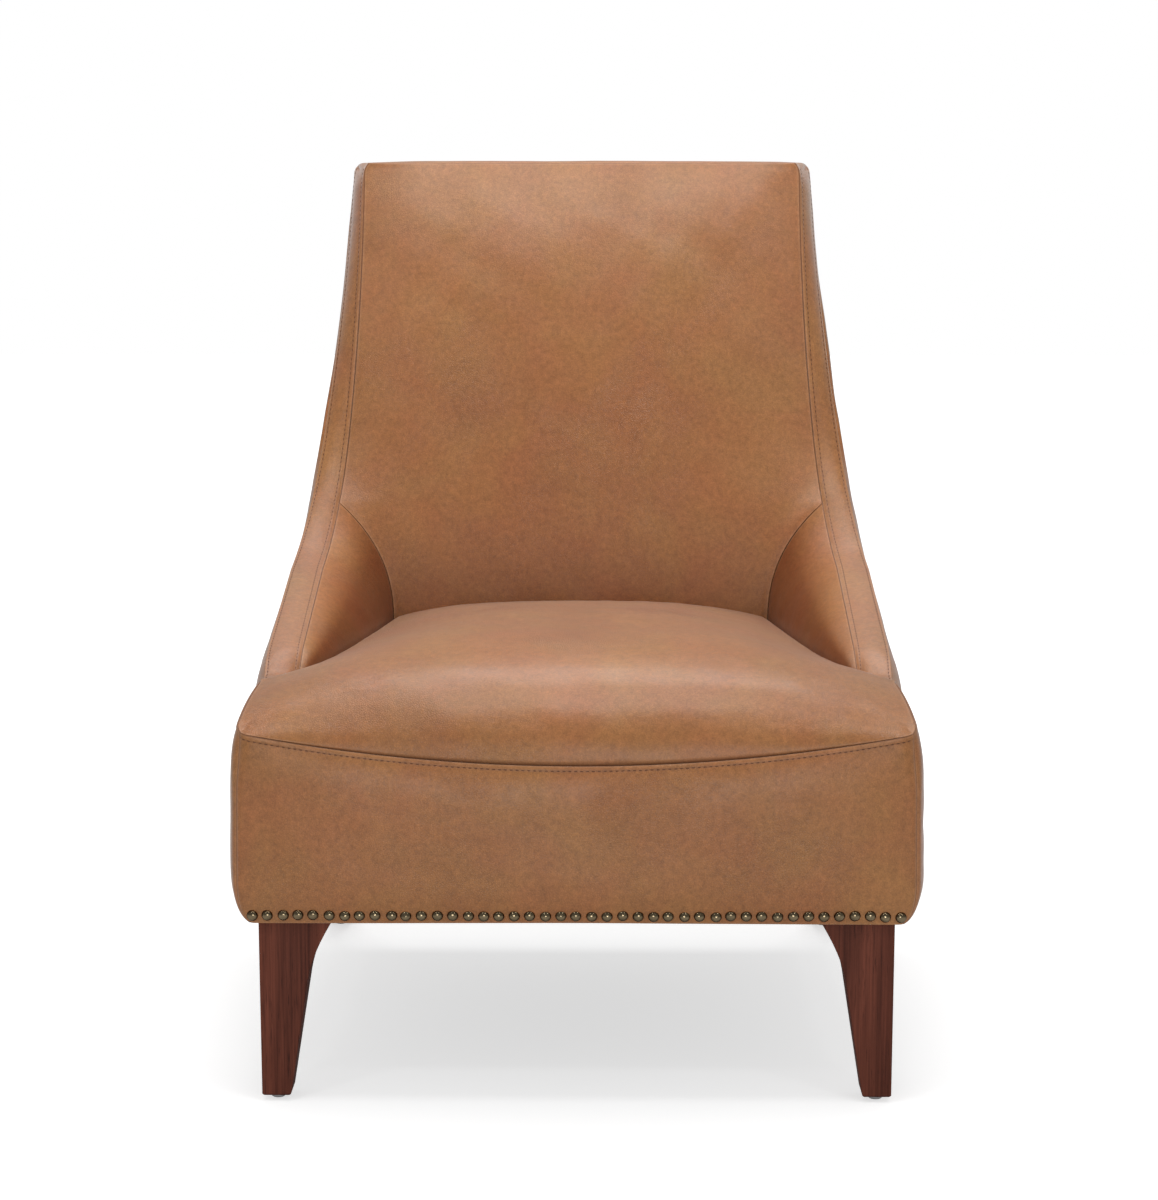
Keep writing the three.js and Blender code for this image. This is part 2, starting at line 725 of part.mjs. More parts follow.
const socket = (low, high) => block(low.map((v) => v - gap), high.map((v) => v + gap));
const mirrored = (low, high, side) => {
  const ends = [low[0] * side, high[0] * side];
  return [[Math.min(...ends), low[1], low[2]], [Math.max(...ends), high[1], high[2]]];
};

// A round pin standing on Z, from one height to another.
const pin = (x, y, from, to, radius) =>
  new THREE.CylinderGeometry(radius, radius, to - from, boltSides)
    .rotateX(Math.PI / 2)
    .translate(x, y, (from + to) / 2);

const frontRailBack = frontRailDepth + frontRailThickness;
const sideRailInner = sideRailHalfWidth - sideRailThickness;
const sideInset = underLeather + sidePad + gap;
const legTop = railBottom - dustThickness - 2 * gap;
const blockInner = sideRailInner - gap;

// Outer and inner edge of a post at a place along the raked back.
const postOuterAt = (along) => bodyHalfWidth(heightOnRake(along, postFace)) - sideInset - postInset;
const postInnerAt = (along) => postOuterAt(along) - postWidth;
const postSteps = 8;
const railMiddle = (postRear + postFace) / 2;
const crossRails = {
  rear_rail: [railBottom, railTop],
  lower_back_rail: [lowerRailBottom, lowerRailBottom + lowerRailHeight],
  crest_rail: [backTop - topClearance - crestHeight, backTop - topClearance],
};

// Foot and head of a cross rail along the raked back, clear of what lies below and above it.
const crossRailSpan = ([low, high]) => [
  alongRake(low, railMiddle + crossRailThickness / 2),
  alongRake(high, postFace),
];

// The tenon at one end of a cross rail, as the low and high corners of a box.
function crossTenon([low, high], side) {
  const [foot, head] = crossRailSpan([low, high]);
  const shoulder = Math.min(postInnerAt(foot), postInnerAt(head));
  return mirrored(
    [shoulder - tenonLength, railMiddle - tenonThickness / 2, foot + tenonShoulder],
    [shoulder + tenonLength, railMiddle + tenonThickness / 2, head - tenonShoulder],
    side,
  );
}

// The side rail's tenon into the front rail.
const frontTenon = (side) =>
  mirrored(
    [sideRailInner + tenonThickness, frontRailBack - tenonLength, railBottom + tenonShoulder],
    [sideRailHalfWidth - tenonThickness, frontRailBack + tenonShoulder, railTop - tenonShoulder],
    side,
  );

function makeBackFrame() {
  const back = new THREE.Group();
  back.position.set(0, bodyDepth, bodyBottom);
  back.rotation.x = -rearRake;
  chair.add(back);

  for (const [name, span] of Object.entries(crossRails)) {
    const [foot, head] = crossRailSpan(span);
    const ends = [foot, head].map((along) => postInnerAt(along) - gap);
    const outline = [[-ends[0], foot], [ends[0], foot], [ends[1], head], [-ends[1], head]];
    const half = crossRailThickness / 2;
    const rail = boardAcross(outline, railMiddle - half, railMiddle + half);
    const tenons = Object.values(sides).map((side) => block(...crossTenon(span, side)));
    addPiece(name, join(rail, ...tenons), colours.wood, 0.7, 0, back);
  }

  for (const [word, side] of Object.entries(sides)) {
    const [foot, head] = [alongRake(railBottom), alongRake(backTop - topClearance, postFace)];
    const along = Array.from({ length: postSteps + 1 }, (_, k) => lerp(foot, head, k / postSteps));
    const outer = along.map((a) => [side * postOuterAt(a), a]);
    const inner = along.map((a) => [side * postInnerAt(a), a]).reverse();
    const mortises = Object.values(crossRails).map((span) => socket(...crossTenon(span, side)));
    const post = cut(boardAcross([...outer, ...inner], postFace, postRear), ...mortises);
    addPiece(`back_post_${word}`, post, colours.wood, 0.7, 0, back);
  }

  for (let k = 0; k < webCount; k++) {
    const middle = alongRake(webFirstHeight + k * webSpacing, postFace);
    const [foot, head] = [middle - webWidth / 2, middle + webWidth / 2];
    const half = Math.min(postInnerAt(foot), postInnerAt(head)) + webLap;
    const strap = block([-half, webFace, foot], [half, postFace - gap, head]);
    addPiece(`back_web_${k + 1}`, strap, colours.web, 0.9, 0, back);
  }
}

function makeSeatFrame() {
  const frontRail = block(
    [-sideRailHalfWidth, frontRailDepth, railBottom],
    [sideRailHalfWidth, frontRailBack, railTop],
  );
  const mortises = Object.values(sides).map((side) => socket(...frontTenon(side)));
  addPiece("front_rail", cut(frontRail, ...mortises), colours.wood, 0.7);

  const postFront = (z) => rakedDepthAt(postFace, z) - gap;
  const grooveFloor = railTop - grooveDepth;
  for (const [word, side] of Object.entries(sides)) {
    const span = (from, to) => (side > 0 ? [from, to] : [-to, -from]);
    const railOutline = [
      [frontRailBack + gap, railBottom],
      [postFront(railBottom), railBottom],
      [postFront(railTop), railTop],
      [frontRailBack + gap, railTop],
    ];
    const rail = boardAlong(railOutline, ...span(sideRailInner, sideRailHalfWidth));
    const groove = socket(
      ...mirrored(
        [armPanelOuter - armPanelThickness, armPanelFront, grooveFloor + gap],
        [armPanelOuter, bodyDepth + backThickness, railTop + grooveDepth],
        side,
      ),
    );
    const tenoned = join(cut(rail, groove), block(...frontTenon(side)));
    addPiece(`side_rail_${word}`, tenoned, colours.wood, 0.7);

    const levelDepth = armFrontDepth + (armPanelTop + armPanelDrop - armFrontHeight) / armSlopeShare;
    const panelFoot = grooveFloor + gap;
    const panelOutline = [
      [armPanelFront, panelFoot],
      [postFront(panelFoot), panelFoot],
      [postFront(armPanelTop), armPanelTop],
      [levelDepth, armPanelTop],
      [armPanelFront, armPanelLine(armPanelFront)],
    ];
    const panel = boardAlong(panelOutline, ...span(armPanelOuter - armPanelThickness, armPanelOuter));
    addPiece(`arm_panel_${word}`, panel, colours.wood, 0.7);
    makeCornerBlocks(word, side, postFront);
  }
}

// The blocks glued into the corners of the seat frame, which the legs are bolted to.
function makeCornerBlocks(word, side, postFront) {
  const postInner = postInnerAt(alongRake(railBottom + blockHeight)) - gap;
  const postDepth = postFront(railBottom);
  const rearRailFace = rakedDepthAt(railMiddle - crossRailThickness / 2, railBottom) - gap;
  const outlines = {
    front: [
      [blockInner, frontRailBack + gap],
      [blockInner - blockLeg, frontRailBack + gap],
      [blockInner, frontRailBack + gap + blockLeg],
    ],
    rear: [
      [blockInner, postDepth],
      [postInner, postDepth],
      [postInner, rearRailFace],
      [blockInner - blockLeg, rearRailFace],
      [blockInner, rearRailFace - blockLeg],
    ],
  };
  for (const [end, outline] of Object.entries(outlines)) {
    const turned = outline.map(([x, y]) => [x * side, y]);
    const bolt = boltPlace(end, side);
    const hole = pin(...bolt, railBottom - gap, railBottom + blockHeight + gap, boltRadius + gap);
    const solid = cut(boardFlat(turned, railBottom, railBottom + blockHeight), hole);
    addPiece(`corner_block_${end}_${word}`, solid, colours.wood, 0.75);
  }
}

const boltPlace = (end, side) => [
  side * (legOuter - boltFromSide),
  end === "front" ? frontBoltDepth : bodyDepth - rearBoltInset,
];

// Zigzag springs from rail to rail, arched under the felt, with a clip at each end.
function makeSprings() {
  const clipMiddle = railTop + gap + clipHeight / 2;
  const rise = deckHeight - feltThickness - gap - springWire / 2 - clipMiddle;
  const front = frontRailDepth + frontRailThickness / 2;
  const rear = rakedDepthAt(railMiddle, railTop);
  const bends = Math.round((rear - front) / springPitch);
  const steps = bends * springBendSteps;
  for (let k = 0; k < springCount; k++) {
    const middle = lerp(-springRowHalfWidth, springRowHalfWidth, k / (springCount - 1));
    const points = Array.from({ length: steps + 1 }, (_, step) => {
      const share = step / steps;
      const swing = springSwing * Math.sin(Math.PI * bends * share);
      return point(middle + swing, lerp(front, rear, share), clipMiddle + rise * Math.sin(Math.PI * share));
    });
    const half = springWire / 2;
    const section = new THREE.Shape(
      [[half, 0], [0, half], [-half, 0], [0, -half]].map(([a, b]) => new THREE.Vector2(a, b)),
    );
    const path = new THREE.CatmullRomCurve3(points);
    const wire = new THREE.ExtrudeGeometry(section, { steps, extrudePath: path });
    const clips = [front, rear].map((depth) =>
      block(
        [middle - clipWidth / 2, depth - clipLength / 2, clipMiddle - clipHeight / 2],
        [middle + clipWidth / 2, depth + clipLength / 2, clipMiddle + clipHeight / 2],
      ),
    );
    addPiece(`seat_spring_${k + 1}`, join(wire, ...clips), colours.steel, 0.4, 0.9);
  }
  const felt = block(
    [-feltHalfWidth, feltFront, deckHeight - feltThickness],
    [feltHalfWidth, feltBack, deckHeight],
  );
  addPiece("seat_felt", felt, colours.felt, 0.95);
}

// A leg's outline in one view: a straight side, and a side that tapers and flares at the top.
function legOutline(straight, flared) {
  const footHeight = glideHeight + gap;
  const taper = (z) => lerp(flared.foot, flared.straightTop, (z - footHeight) / (legTop - footHeight));
  const inwards = Math.sign(flared.foot - straight.foot);
  return new THREE.Shape()
    .moveTo(straight.top, legTop)
    .lineTo(straight.foot, footHeight + footChamfer)
    .lineTo(straight.foot + inwards * footChamfer, footHeight)
    .lineTo(flared.foot - inwards * footChamfer, footHeight)
    .lineTo(flared.foot, footHeight + footChamfer)
    .lineTo(taper(haunchHeight), haunchHeight)
    .quadraticCurveTo(taper(haunchBend), haunchBend, flared.top, legTop);
}

function makeLegs() {
  const rearLegTop = bodyDepth - rearLegInset;
  const rearLegFoot = bodyDepth + rearLegKick;
  const sideViews = {
    front: legOutline(
      { top: legFront, foot: legFront },
      { top: legTopBack, straightTop: legStraightBack, foot: legFootBack },
    ),
    rear: legOutline(
      { top: rearLegTop, foot: rearLegFoot },
      {
        top: rearLegTop - rearLegTopDepth,
        straightTop: rearLegTop - rearLegStraightDepth,
        foot: rearLegFoot - rearLegFootDepth,
      },
    ),
  };
  const footMiddles = { front: (legFront + legFootBack) / 2, rear: rearLegFoot - rearLegFootDepth / 2 };
  for (const [word, side] of Object.entries(sides)) {
    const frontView = legOutline(
      { top: side * legOuter, foot: side * legOuter },
      {
        top: side * (legOuter - legTopWidth),
        straightTop: side * (legOuter - legStraightWidth),
        foot: side * (legOuter - legFootWidth),
      },
    );
    for (const [end, sideView] of Object.entries(sideViews)) {
      const wide = toSolid(boardAcross(frontView, 0, bodyDepth + backThickness));
      const deep = toSolid(boardAlong(sideView, -baseHalfWidth, baseHalfWidth));
      const footX = side * (legOuter - legFootWidth / 2);
      const stem = pin(footX, footMiddles[end], 0, glideHeight + glideStem + gap, glideStemRadius + gap);
      const bolt = pin(...boltPlace(end, side), legTop - boltInLeg - gap, legTop + gap, boltRadius + gap);
      const leg = cut(toGeometry(wide.intersect(deep)), stem, bolt);
      addPiece(`${end}_leg_${word}`, leg, colours.stainedWood, 0.45);
      addPiece(`glide_${end}_${word}`, makeGlide().translate(footX, footMiddles[end], 0), colours.glide, 0.6);
      const [boltX, boltY] = boltPlace(end, side);
      addPiece(`leg_bolt_${end}_${word}`, makeBolt().translate(boltX, boltY, 0), colours.steel, 0.4, 0.9);
    }
  }
}

const revolve = (profile, segments) =>
  new THREE.LatheGeometry(profile.map(([r, h]) => new THREE.Vector2(r, h)), segments).rotateX(Math.PI / 2);

// A plastic glide with the stem that holds it in the foot.
const makeGlide = () =>
  revolve(
    [
      [0, 0],
      [glideRadius - glideHeight / 4, 0],
      [glideRadius, glideHeight / 4],
      [glideRadius, glideHeight],
      [glideStemRadius, glideHeight],
      [glideStemRadius, glideHeight + glideStem],
      [0, glideHeight + glideStem],
    ],
    glideSides,
  );

// The bolt of a leg, with its washer and nut on top of the corner block.
function makeBolt() {
  const seat = railBottom + blockHeight + gap;
  const nutFoot = seat + washerThickness;
  return revolve(
    [
      [0, legTop - boltInLeg],
      [boltRadius, legTop - boltInLeg],
      [boltRadius, seat],
      [washerRadius, seat],
      [washerRadius, nutFoot],
      [nutRadius, nutFoot],
      [nutRadius, nutFoot + nutHeight],
      [boltRadius, nutFoot + nutHeight],
      [boltRadius, nutFoot + nutHeight + boltTail],
      [0, nutFoot + nutHeight + boltTail],
    ],
    boltSides,
  );
}

// The black cloth under the seat, stapled to the rails, with holes for the leg bolts.
function makeDustCover() {
  const from = railBottom - gap - dustThickness;
  const to = railBottom - gap;
  const rear = rakedDepthAt(postRear, railBottom);
  const cloth = block([-sideRailHalfWidth, frontRailDepth, from], [sideRailHalfWidth, rear, to]);
  const holes = Object.values(sides).flatMap((side) =>
    ["front", "rear"].map((end) => pin(...boltPlace(end, side), from - gap, to + gap, boltRadius + gap)),
  );
  addPiece("dust_cover", cut(cloth, ...holes), colours.cloth, 0.95);
}

makeLeather();
makePads();
makeBackFrame();
makeSeatFrame();
makeSprings();
makeLegs();
makeDustCover();

const box = new THREE.Box3().setFromObject(chair);
chair.position.set(0, -(box.min.y + box.max.y) / 2, 0);

export default chair;
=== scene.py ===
"""A leather lounge chair with a high raked back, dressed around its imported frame.

Sizes are in millimetres, as in the part's source, and meshes are written in metres.
x runs to the right, y is the depth behind the front plane, and z is up.
"""

import json
import logging
import math
from dataclasses import dataclass, field
from enum import Enum
from typing import Iterable, Sequence

import bmesh
import bpy
import numpy as np
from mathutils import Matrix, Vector


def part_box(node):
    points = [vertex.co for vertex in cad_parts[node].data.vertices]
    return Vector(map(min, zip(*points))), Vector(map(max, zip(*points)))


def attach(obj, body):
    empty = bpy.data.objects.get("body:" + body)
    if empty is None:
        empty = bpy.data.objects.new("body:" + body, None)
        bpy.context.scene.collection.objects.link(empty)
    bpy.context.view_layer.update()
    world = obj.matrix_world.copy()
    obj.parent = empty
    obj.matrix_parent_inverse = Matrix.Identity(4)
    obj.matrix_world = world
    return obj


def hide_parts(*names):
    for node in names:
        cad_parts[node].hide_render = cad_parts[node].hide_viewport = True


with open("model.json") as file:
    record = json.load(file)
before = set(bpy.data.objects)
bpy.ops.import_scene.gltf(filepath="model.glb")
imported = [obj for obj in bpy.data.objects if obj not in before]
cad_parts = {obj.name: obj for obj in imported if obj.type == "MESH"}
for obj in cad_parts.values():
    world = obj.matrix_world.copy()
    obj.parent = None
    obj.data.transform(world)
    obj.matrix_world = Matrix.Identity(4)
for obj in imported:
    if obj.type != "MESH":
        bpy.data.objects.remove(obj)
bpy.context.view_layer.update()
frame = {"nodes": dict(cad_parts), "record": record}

LOG = logging.getLogger("lounge_chair")
MM = 0.001
ROOT = "root"
Array = np.ndarray | float
Triple = tuple[float, float, float]
Colour = tuple[float, float, float, float]
Material, Piece = bpy.types.Material, bpy.types.Object
Node, Socket, Tree = bpy.types.Node, bpy.types.NodeSocket, bpy.types.NodeTree


# Numbers on arrays


def ramp(value: Array, low: float, high: float) -> Array:
    """A straight rise from 0 at low to 1 at high, level beyond them."""
    return np.clip((value - low) / (high - low), 0.0, 1.0)


def smoothstep(value: Array, low: float, high: float) -> Array:
    """A soft step from 0 at low to 1 at high: t * t * (3 - 2 t)."""
    t = ramp(value, low, high)
    return t * t * (3.0 - 2.0 * t)


def mix(low: Array, high: Array, share: Array) -> Array:
    """The value at a share of the way from low to high."""
    return low + (high - low) * share


def bell(distance: Array, width: float) -> Array:
    """1 at no distance, falling as exp(-(distance / width)^2)."""
    return np.exp(-((distance / width) ** 2))


def rolled_edge(distance: Array, radius: Array) -> Array:
    """Fall of a quarter-round edge: r - sqrt(r^2 - (r - distance)^2) within its radius r of the rim."""
    short = np.clip(radius - distance, 0.0, None)
    return radius - np.sqrt(np.maximum(radius**2 - short**2, 0.0))


def pillow(share: Array, power: float = 5.0) -> Array:
    """Swell of a stuffed panel: 1 - |2 share - 1|^power, full in the middle and nothing on the rims."""
    return 1.0 - np.abs(2.0 * share - 1.0) ** power


def rounded(a: Array, b: Array) -> tuple[Array, Array]:
    """Offsets from a corner's centre, scaled by max(a, b) / hypot(a, b) where both are above 0: square to round."""
    scale = np.where((a > 0.0) & (b > 0.0), np.maximum(a, b) / np.maximum(np.hypot(a, b), 1e-9), 1.0)
    return a * scale, b * scale


def xyz(x: Array, y: Array, z: Array) -> Array:
    """Points from their three coordinates."""
    return np.stack(np.broadcast_arrays(x, y, z), axis=-1)


def lattice(rows: Array, columns: Array) -> list[Array]:
    """The row's value and the column's value at each point of a grid."""
    return np.meshgrid(rows, columns, indexing="ij")


def unit(vectors: Array) -> Array:
    """The vectors at length one."""
    return vectors / np.maximum(np.linalg.norm(vectors, axis=-1, keepdims=True), 1e-9)


def run(points: Array) -> Array:
    """Distance of each row of points from the first row, summed from row to row."""
    steps = np.linalg.norm(np.diff(points, axis=0), axis=-1)
    return np.concatenate([np.zeros_like(steps[:1]), np.cumsum(steps, axis=0)])


def blurred(values: Array, reach: int, width: float) -> Array:
    """Values evened out along a line by the weights exp(-(k / width)^2 / 2), with the ends held."""
    weights = np.exp(-0.5 * (np.arange(-reach, reach + 1) / width) ** 2)
    return np.convolve(np.pad(values, reach, mode="edge"), weights / weights.sum(), mode="valid")


def graded(length: float, step: float, start: Sequence[float], end: Sequence[float]) -> Array:
    """Places along a length: close together near both ends and evenly spaced between them.

    Args:
        length: the whole length in millimetres.
        step: the spacing of the middle part.
        start: offsets from the first end.
        end: offsets from the last end.

    Returns:
        The places as shares of the length, from 0 to 1.
    """
    low, high = start[-1], length - end[-1]
    middle = np.linspace(low, high, max(int(round((high - low) / step)), 2) + 1)[1:-1]
    return np.concatenate([np.array(start), middle, length - np.array(end)[::-1]]) / length


def wobble(points: Array, amplitude: float, length: float, seed: int) -> Array:
    """Slow unevenness: nine sine waves in seeded directions, times amplitude / 3.

    Args:
        points: where it is wanted.
        amplitude: its size in millimetres.
        length: the mean wavelength.
        seed: what the directions are drawn from.

    Returns:
        One height for each point.
    """
    draw = np.random.default_rng(seed)
    ways = draw.normal(size=(9, 3))
    ways *= (2.0 * math.pi / length) * draw.uniform(0.6, 1.5, (9, 1)) / np.linalg.norm(ways, axis=1, keepdims=True)
    waves = np.sin(points @ ways.T + draw.uniform(0.0, 2.0 * math.pi, 9))
    return amplitude * waves.sum(axis=-1) / 3.0


SEAM_OFFSETS = (0.0, 0.15, 0.45, 0.9, 1.5, 2.3, 3.4, 4.8, 5.8, 6.6, 7.4, 8.4, 9.8, 12.0)
TUCK_OFFSETS = (0.0, 0.6, 1.6, 3.0, 5.0, 7.5, 10.5, 14.0)
OPEN_OFFSETS = (0.0, 0.5, 1.2, 2.2, 3.6, 6.0)
PLAIN_OFFSETS = (0.0, 4.0)
NAIL_OFFSETS = (0.0, 0.5, 1.2, 2.4, 4.0, 6.0, 8.0, 10.0, 12.0, 14.0, 17.0)
FOOT_OFFSETS = (0.0, 0.4, 1.0, 2.0, 3.5, 5.5, 8.0, 11.0, 15.0, 20.0, 26.0, 33.0, 41.0)
ROLL_OFFSETS = (
    *(0.0, 0.05, 0.15, 0.3, 0.5, 0.75, 1.1, 1.5, 2.0, 2.7, 3.5),
    *(4.5, 5.8, 7.3, 9.2, 11.5, 14.5, 18.0, 22.0, 27.0, 33.0),
)


# The body's curves, which follow the source's


@dataclass(frozen=True)
class BodyForm:
    """Driving sizes of the upholstered body, and the curves that its covers share."""

    bottom: float = 195.5
    base_half: float = 346.0
    arm_half: float = 340.0
    top_half: float = 289.0
    top: float = 980.0
    depth: float = 600.0
    back_thickness: float = 80.0
    side_swell: float = 14.0
    wing_swell: float = 5.0
    front_swell: float = 10.0
    front_flare: float = 7.5
    waist: float = 3.5
    rear_swell: float = 4.0
    foot_tuck: float = 16.0
    foot_tuck_height: float = 42.0
    seat_side: float = 430.0
    corner_seam: float = 397.0
    front_seam: float = 363.0
    seat_crown: float = 467.0
    seat_rear_drop: float = 18.0
    front_roll: float = 300.0
    arm_front: float = 132.0
    arm_inner_half: float = 304.0
    arm_inner_front: float = 173.0
    arm_foot_drop: float = 14.0
    arm_skirt: float = 66.0
    arm_dive: float = 17.0
    dive_end: float = 0.16
    hiding_rise: float = 1.5
    hiding_slope: float = 0.12
    hiding_blend: float = 3.0
    arm_height: float = 425.0
    arm_inner_height: float = 432.0
    wing_start: float = 505.0
    arm_seam: float = 568.0
    tub_half: float = 229.0
    tub_flare: float = 18.0
    tub_loss: float = 56.0
    top_inner_half: float = 273.0
    wing_fold: float = 114.0
    sweep_radius: float = 140.0
    inner_sweep_radius: float = 120.0
    back_swell: float = 10.0
    top_roll: float = 16.0
    inside_rake: float = math.tan(math.radians(17.0))
    edge_rake: float = 0.388
    arm_slope: float = 0.287
    corner_radius: float = 8.0
    lobe_corner_radius: float = 18.0
    top_corner_radius: float = 12.0
    seam_curl: float = 6.0
    seam_curl_height: float = 15.0

    @property
    def tub_rear(self) -> float:
        """Depth of the tub's rear at seat height."""
        return self.depth - self.back_thickness

    @property
    def top_depth(self) -> float:
        """Depth of the rear edge of the top."""
        return self.inside_depth(self.top) + self.back_thickness

    def rise(self, z: Array) -> Array:
        """Share of the wing's height at a height."""
        return ramp(z, self.wing_start, self.top)

    def side_half(self, z: Array) -> Array:
        """Half-width of the body's side, straight below the wings and a curve of power 1.55 above.

        At the foot it turns in as a quarter ellipse, foot_tuck * (1 - sqrt(1 - t^2)), where t rises to 1.

        Args:
            z: heights.

        Returns:
            The half-width at each height.
        """
        wing = mix(self.top_half, self.arm_half, (1.0 - self.rise(z)) ** 1.55)
        low = mix(self.arm_half, self.base_half, ramp(z, self.wing_start, self.bottom))
        foot = ramp(z, self.bottom + self.foot_tuck_height, self.bottom)
        return np.where(z < self.wing_start, low, wing) - self.foot_tuck * (1.0 - np.sqrt(1.0 - foot**2))

    def flare(self, depth: Array) -> Array:
        """Extra half-width near the front: front_flare * t^1.5, t falling to 0 at the arms' front, less a waist."""
        t = ramp(depth, self.arm_front, self.front_swell)
        return self.front_flare * t**1.5 - self.waist * bell(depth - self.arm_front - 8.0, 45.0)

    def dive(self, station: Array) -> Array:
        """How far a wing edge dips below its path where it rolls down behind the seat's lobe: arm_dive * left^2."""
        return self.arm_dive * ramp(station, self.dive_end, 0.0) ** 2

    def inner_half(self, z: Array) -> Array:
        """Half-width of the border's inner seam: a curve of power 2.2 up the wing, and a curl at its top."""
        curl = ramp(z, self.top - self.seam_curl_height, self.top)
        seam = mix(self.top_inner_half, self.arm_inner_half, (1.0 - self.rise(z)) ** 2.2)
        return seam - self.seam_curl * curl**2.5

    def inside_depth(self, z: Array) -> Array:
        """Depth of the plane of the inside back at a height."""
        return self.tub_rear + self.inside_rake * (z - self.seat_side)

    def rear_depth(self, z: Array) -> Array:
        """Depth of the plane of the outside back at a height."""
        return mix(self.depth, self.top_depth, (z - self.bottom) / (self.top - self.bottom))

    def sweep(self, start: Sequence[float], foot: Sequence[float], rake: float, radius: float) -> Array:
        """Side view of a wing edge: a straight arm, a quadratic Bezier round the corner, a straight back.

        Args:
            start: depth and height of the arm's front.
            foot: a point of the back's line.
            rake: depth gained for each unit of height on the back's line.
            radius: distance from the corner at which the curve starts and ends.

        Returns:
            Rows of (share of the length, depth, height).
        """
        reach = foot[0] - start[0] - rake * foot[1]
        height = (start[1] + self.arm_slope * reach) / (1.0 - self.arm_slope * rake)
        corner = np.array([foot[0] + rake * (height - foot[1]), height])
        low = corner - radius * unit(np.array([1.0, self.arm_slope]))
        high = corner + radius * unit(np.array([rake, 1.0]))
        t = np.linspace(0.0, 1.0, 200)[:, None]
        curve = (1.0 - t) ** 2 * low + 2.0 * t * (1.0 - t) * corner + t**2 * high
        points = np.vstack([start, curve, (foot[0] + rake * (self.top - foot[1]), self.top)])
        length = run(points)
        return np.column_stack([length / length[-1], points])

    def inner_path(self) -> Array:
        """Side view of the border's inner seam."""
        start = (self.arm_inner_front, self.arm_inner_height)
        return self.sweep(start, (self.tub_rear, self.seat_side), self.inside_rake, self.inner_sweep_radius)

    def outer_path(self) -> Array:
        """Side view of the border's outer seam."""
        height = self.seat_side + self.wing_fold
        foot = (self.inside_depth(height), height)
        return self.sweep((self.arm_front, self.arm_height), foot, self.edge_rake, self.sweep_radius)

    def side_view(self, path: Array, station: Array) -> tuple[Array, Array]:
        """Depth and height on a path at stations: 0 to 1 along the arm, 1 to 2 from its seam to the top."""
        inner = self.inner_path()
        seam = np.interp(self.arm_seam, inner[:, 2], inner[:, 0])
        share = np.where(station <= 1.0, seam * station, mix(seam, 1.0, station - 1.0))
        return np.interp(share, path[:, 0], path[:, 1]), np.interp(share, path[:, 0], path[:, 2])

    def outer_seam(self, station: Array) -> Array:
        """The border's outer seam, held by a smooth maximum above a line that the seat's lobe hides from the front.

        Args:
            station: places along the seam.

        Returns:
            Its points.
        """
        d, z = self.side_view(self.outer_path(), station)
        low = z - self.dive(station)
        hidden = self.arm_height + self.hiding_rise - self.hiding_slope * (d - self.arm_front)
        held = 0.5 * (low + hidden + np.hypot(low - hidden, self.hiding_blend))
        return xyz(self.side_half(z) + self.flare(d), d, np.minimum(held, np.maximum(z, hidden)))

    def inner_seam(self, station: Array) -> Array:
        """The border's inner seam at stations."""
        d, z = self.side_view(self.inner_path(), station)
        return xyz(self.inner_half(z), d, z - self.dive(station))

    def seat_side_at(self, depth: Array) -> Array:
        """Height of the seat's side edge: it rises from the front corner to the arm."""
        share = ramp(depth, self.front_swell, self.arm_inner_front)
        return mix(self.corner_seam, self.seat_side, 1.0 - (1.0 - share) ** 2)

    def seat_middle_at(self, depth: Array) -> Array:
        """Height of the seat's middle line: a steep, full roll, (1 - (1 - s)^3)^0.395, and a slow fall behind."""
        rise = (1.0 - (1.0 - ramp(depth, self.front_swell, self.front_roll)) ** 3) ** 0.395
        fall = self.seat_rear_drop * ramp(depth, self.front_roll, self.tub_rear) ** 2
        return mix(self.front_seam, self.seat_crown, rise) - fall

    def tub_half_at(self, station: Array) -> Array:
        """Half-width of the tub at seat level, at a station along the arm."""
        left = 1.0 - station
        return self.tub_half + self.tub_loss * left + self.tub_flare * left**5

    def seat_half_at(self, depth: Array) -> Array:
        """Half-width of the seat: the lobes in front of the arms, a short diagonal, then the tub.

        Args:
            depth: depths behind the front plane.

        Returns:
            The half-width at each depth.
        """
        lobe = self.side_half(self.seat_side_at(depth)) + self.flare(depth)
        tub = self.tub_half_at(ramp(depth, self.arm_inner_front, self.tub_rear))
        along = (depth - self.arm_front) / (self.arm_inner_front - self.arm_front)
        slant = mix(self.side_half(self.arm_height), self.tub_half_at(0.0), along)
        return np.where(depth < self.arm_front, lobe, np.where(depth < self.arm_inner_front, slant, tub))

    def arm_point(self, station: Array, share: Array) -> Array:
        """The inside arm: from its foot under the seat's edge, at share 0, up to the inner seam, at share 1.

        The face leans out as (share^1.5 + 3 share^5) / 4 of the way at the front and as share^2.55 at the
        back's seam. A share below 0 goes straight down.

        Args:
            station: places along the arm, 0 to 1.
            share: shares of the way up.

        Returns:
            The points.
        """
        depth, top = mix(self.arm_inner_front, self.tub_rear, station), self.inner_seam(station)
        foot = self.seat_side_at(depth) - self.arm_foot_drop
        w = np.clip(share, 0.0, 1.0)
        lean = mix(0.25 * w**1.5 + 0.75 * w**5, w**2.55, ramp(station, 0.0, 1.0) ** 2)
        z = mix(foot, top[..., 2], w) + np.minimum(share, 0.0) * self.arm_skirt
        raked = depth - station * (self.tub_rear - self.inside_depth(np.minimum(foot, z)))
        return xyz(mix(self.tub_half_at(station), top[..., 0], lean), mix(raked, top[..., 1], w), z)

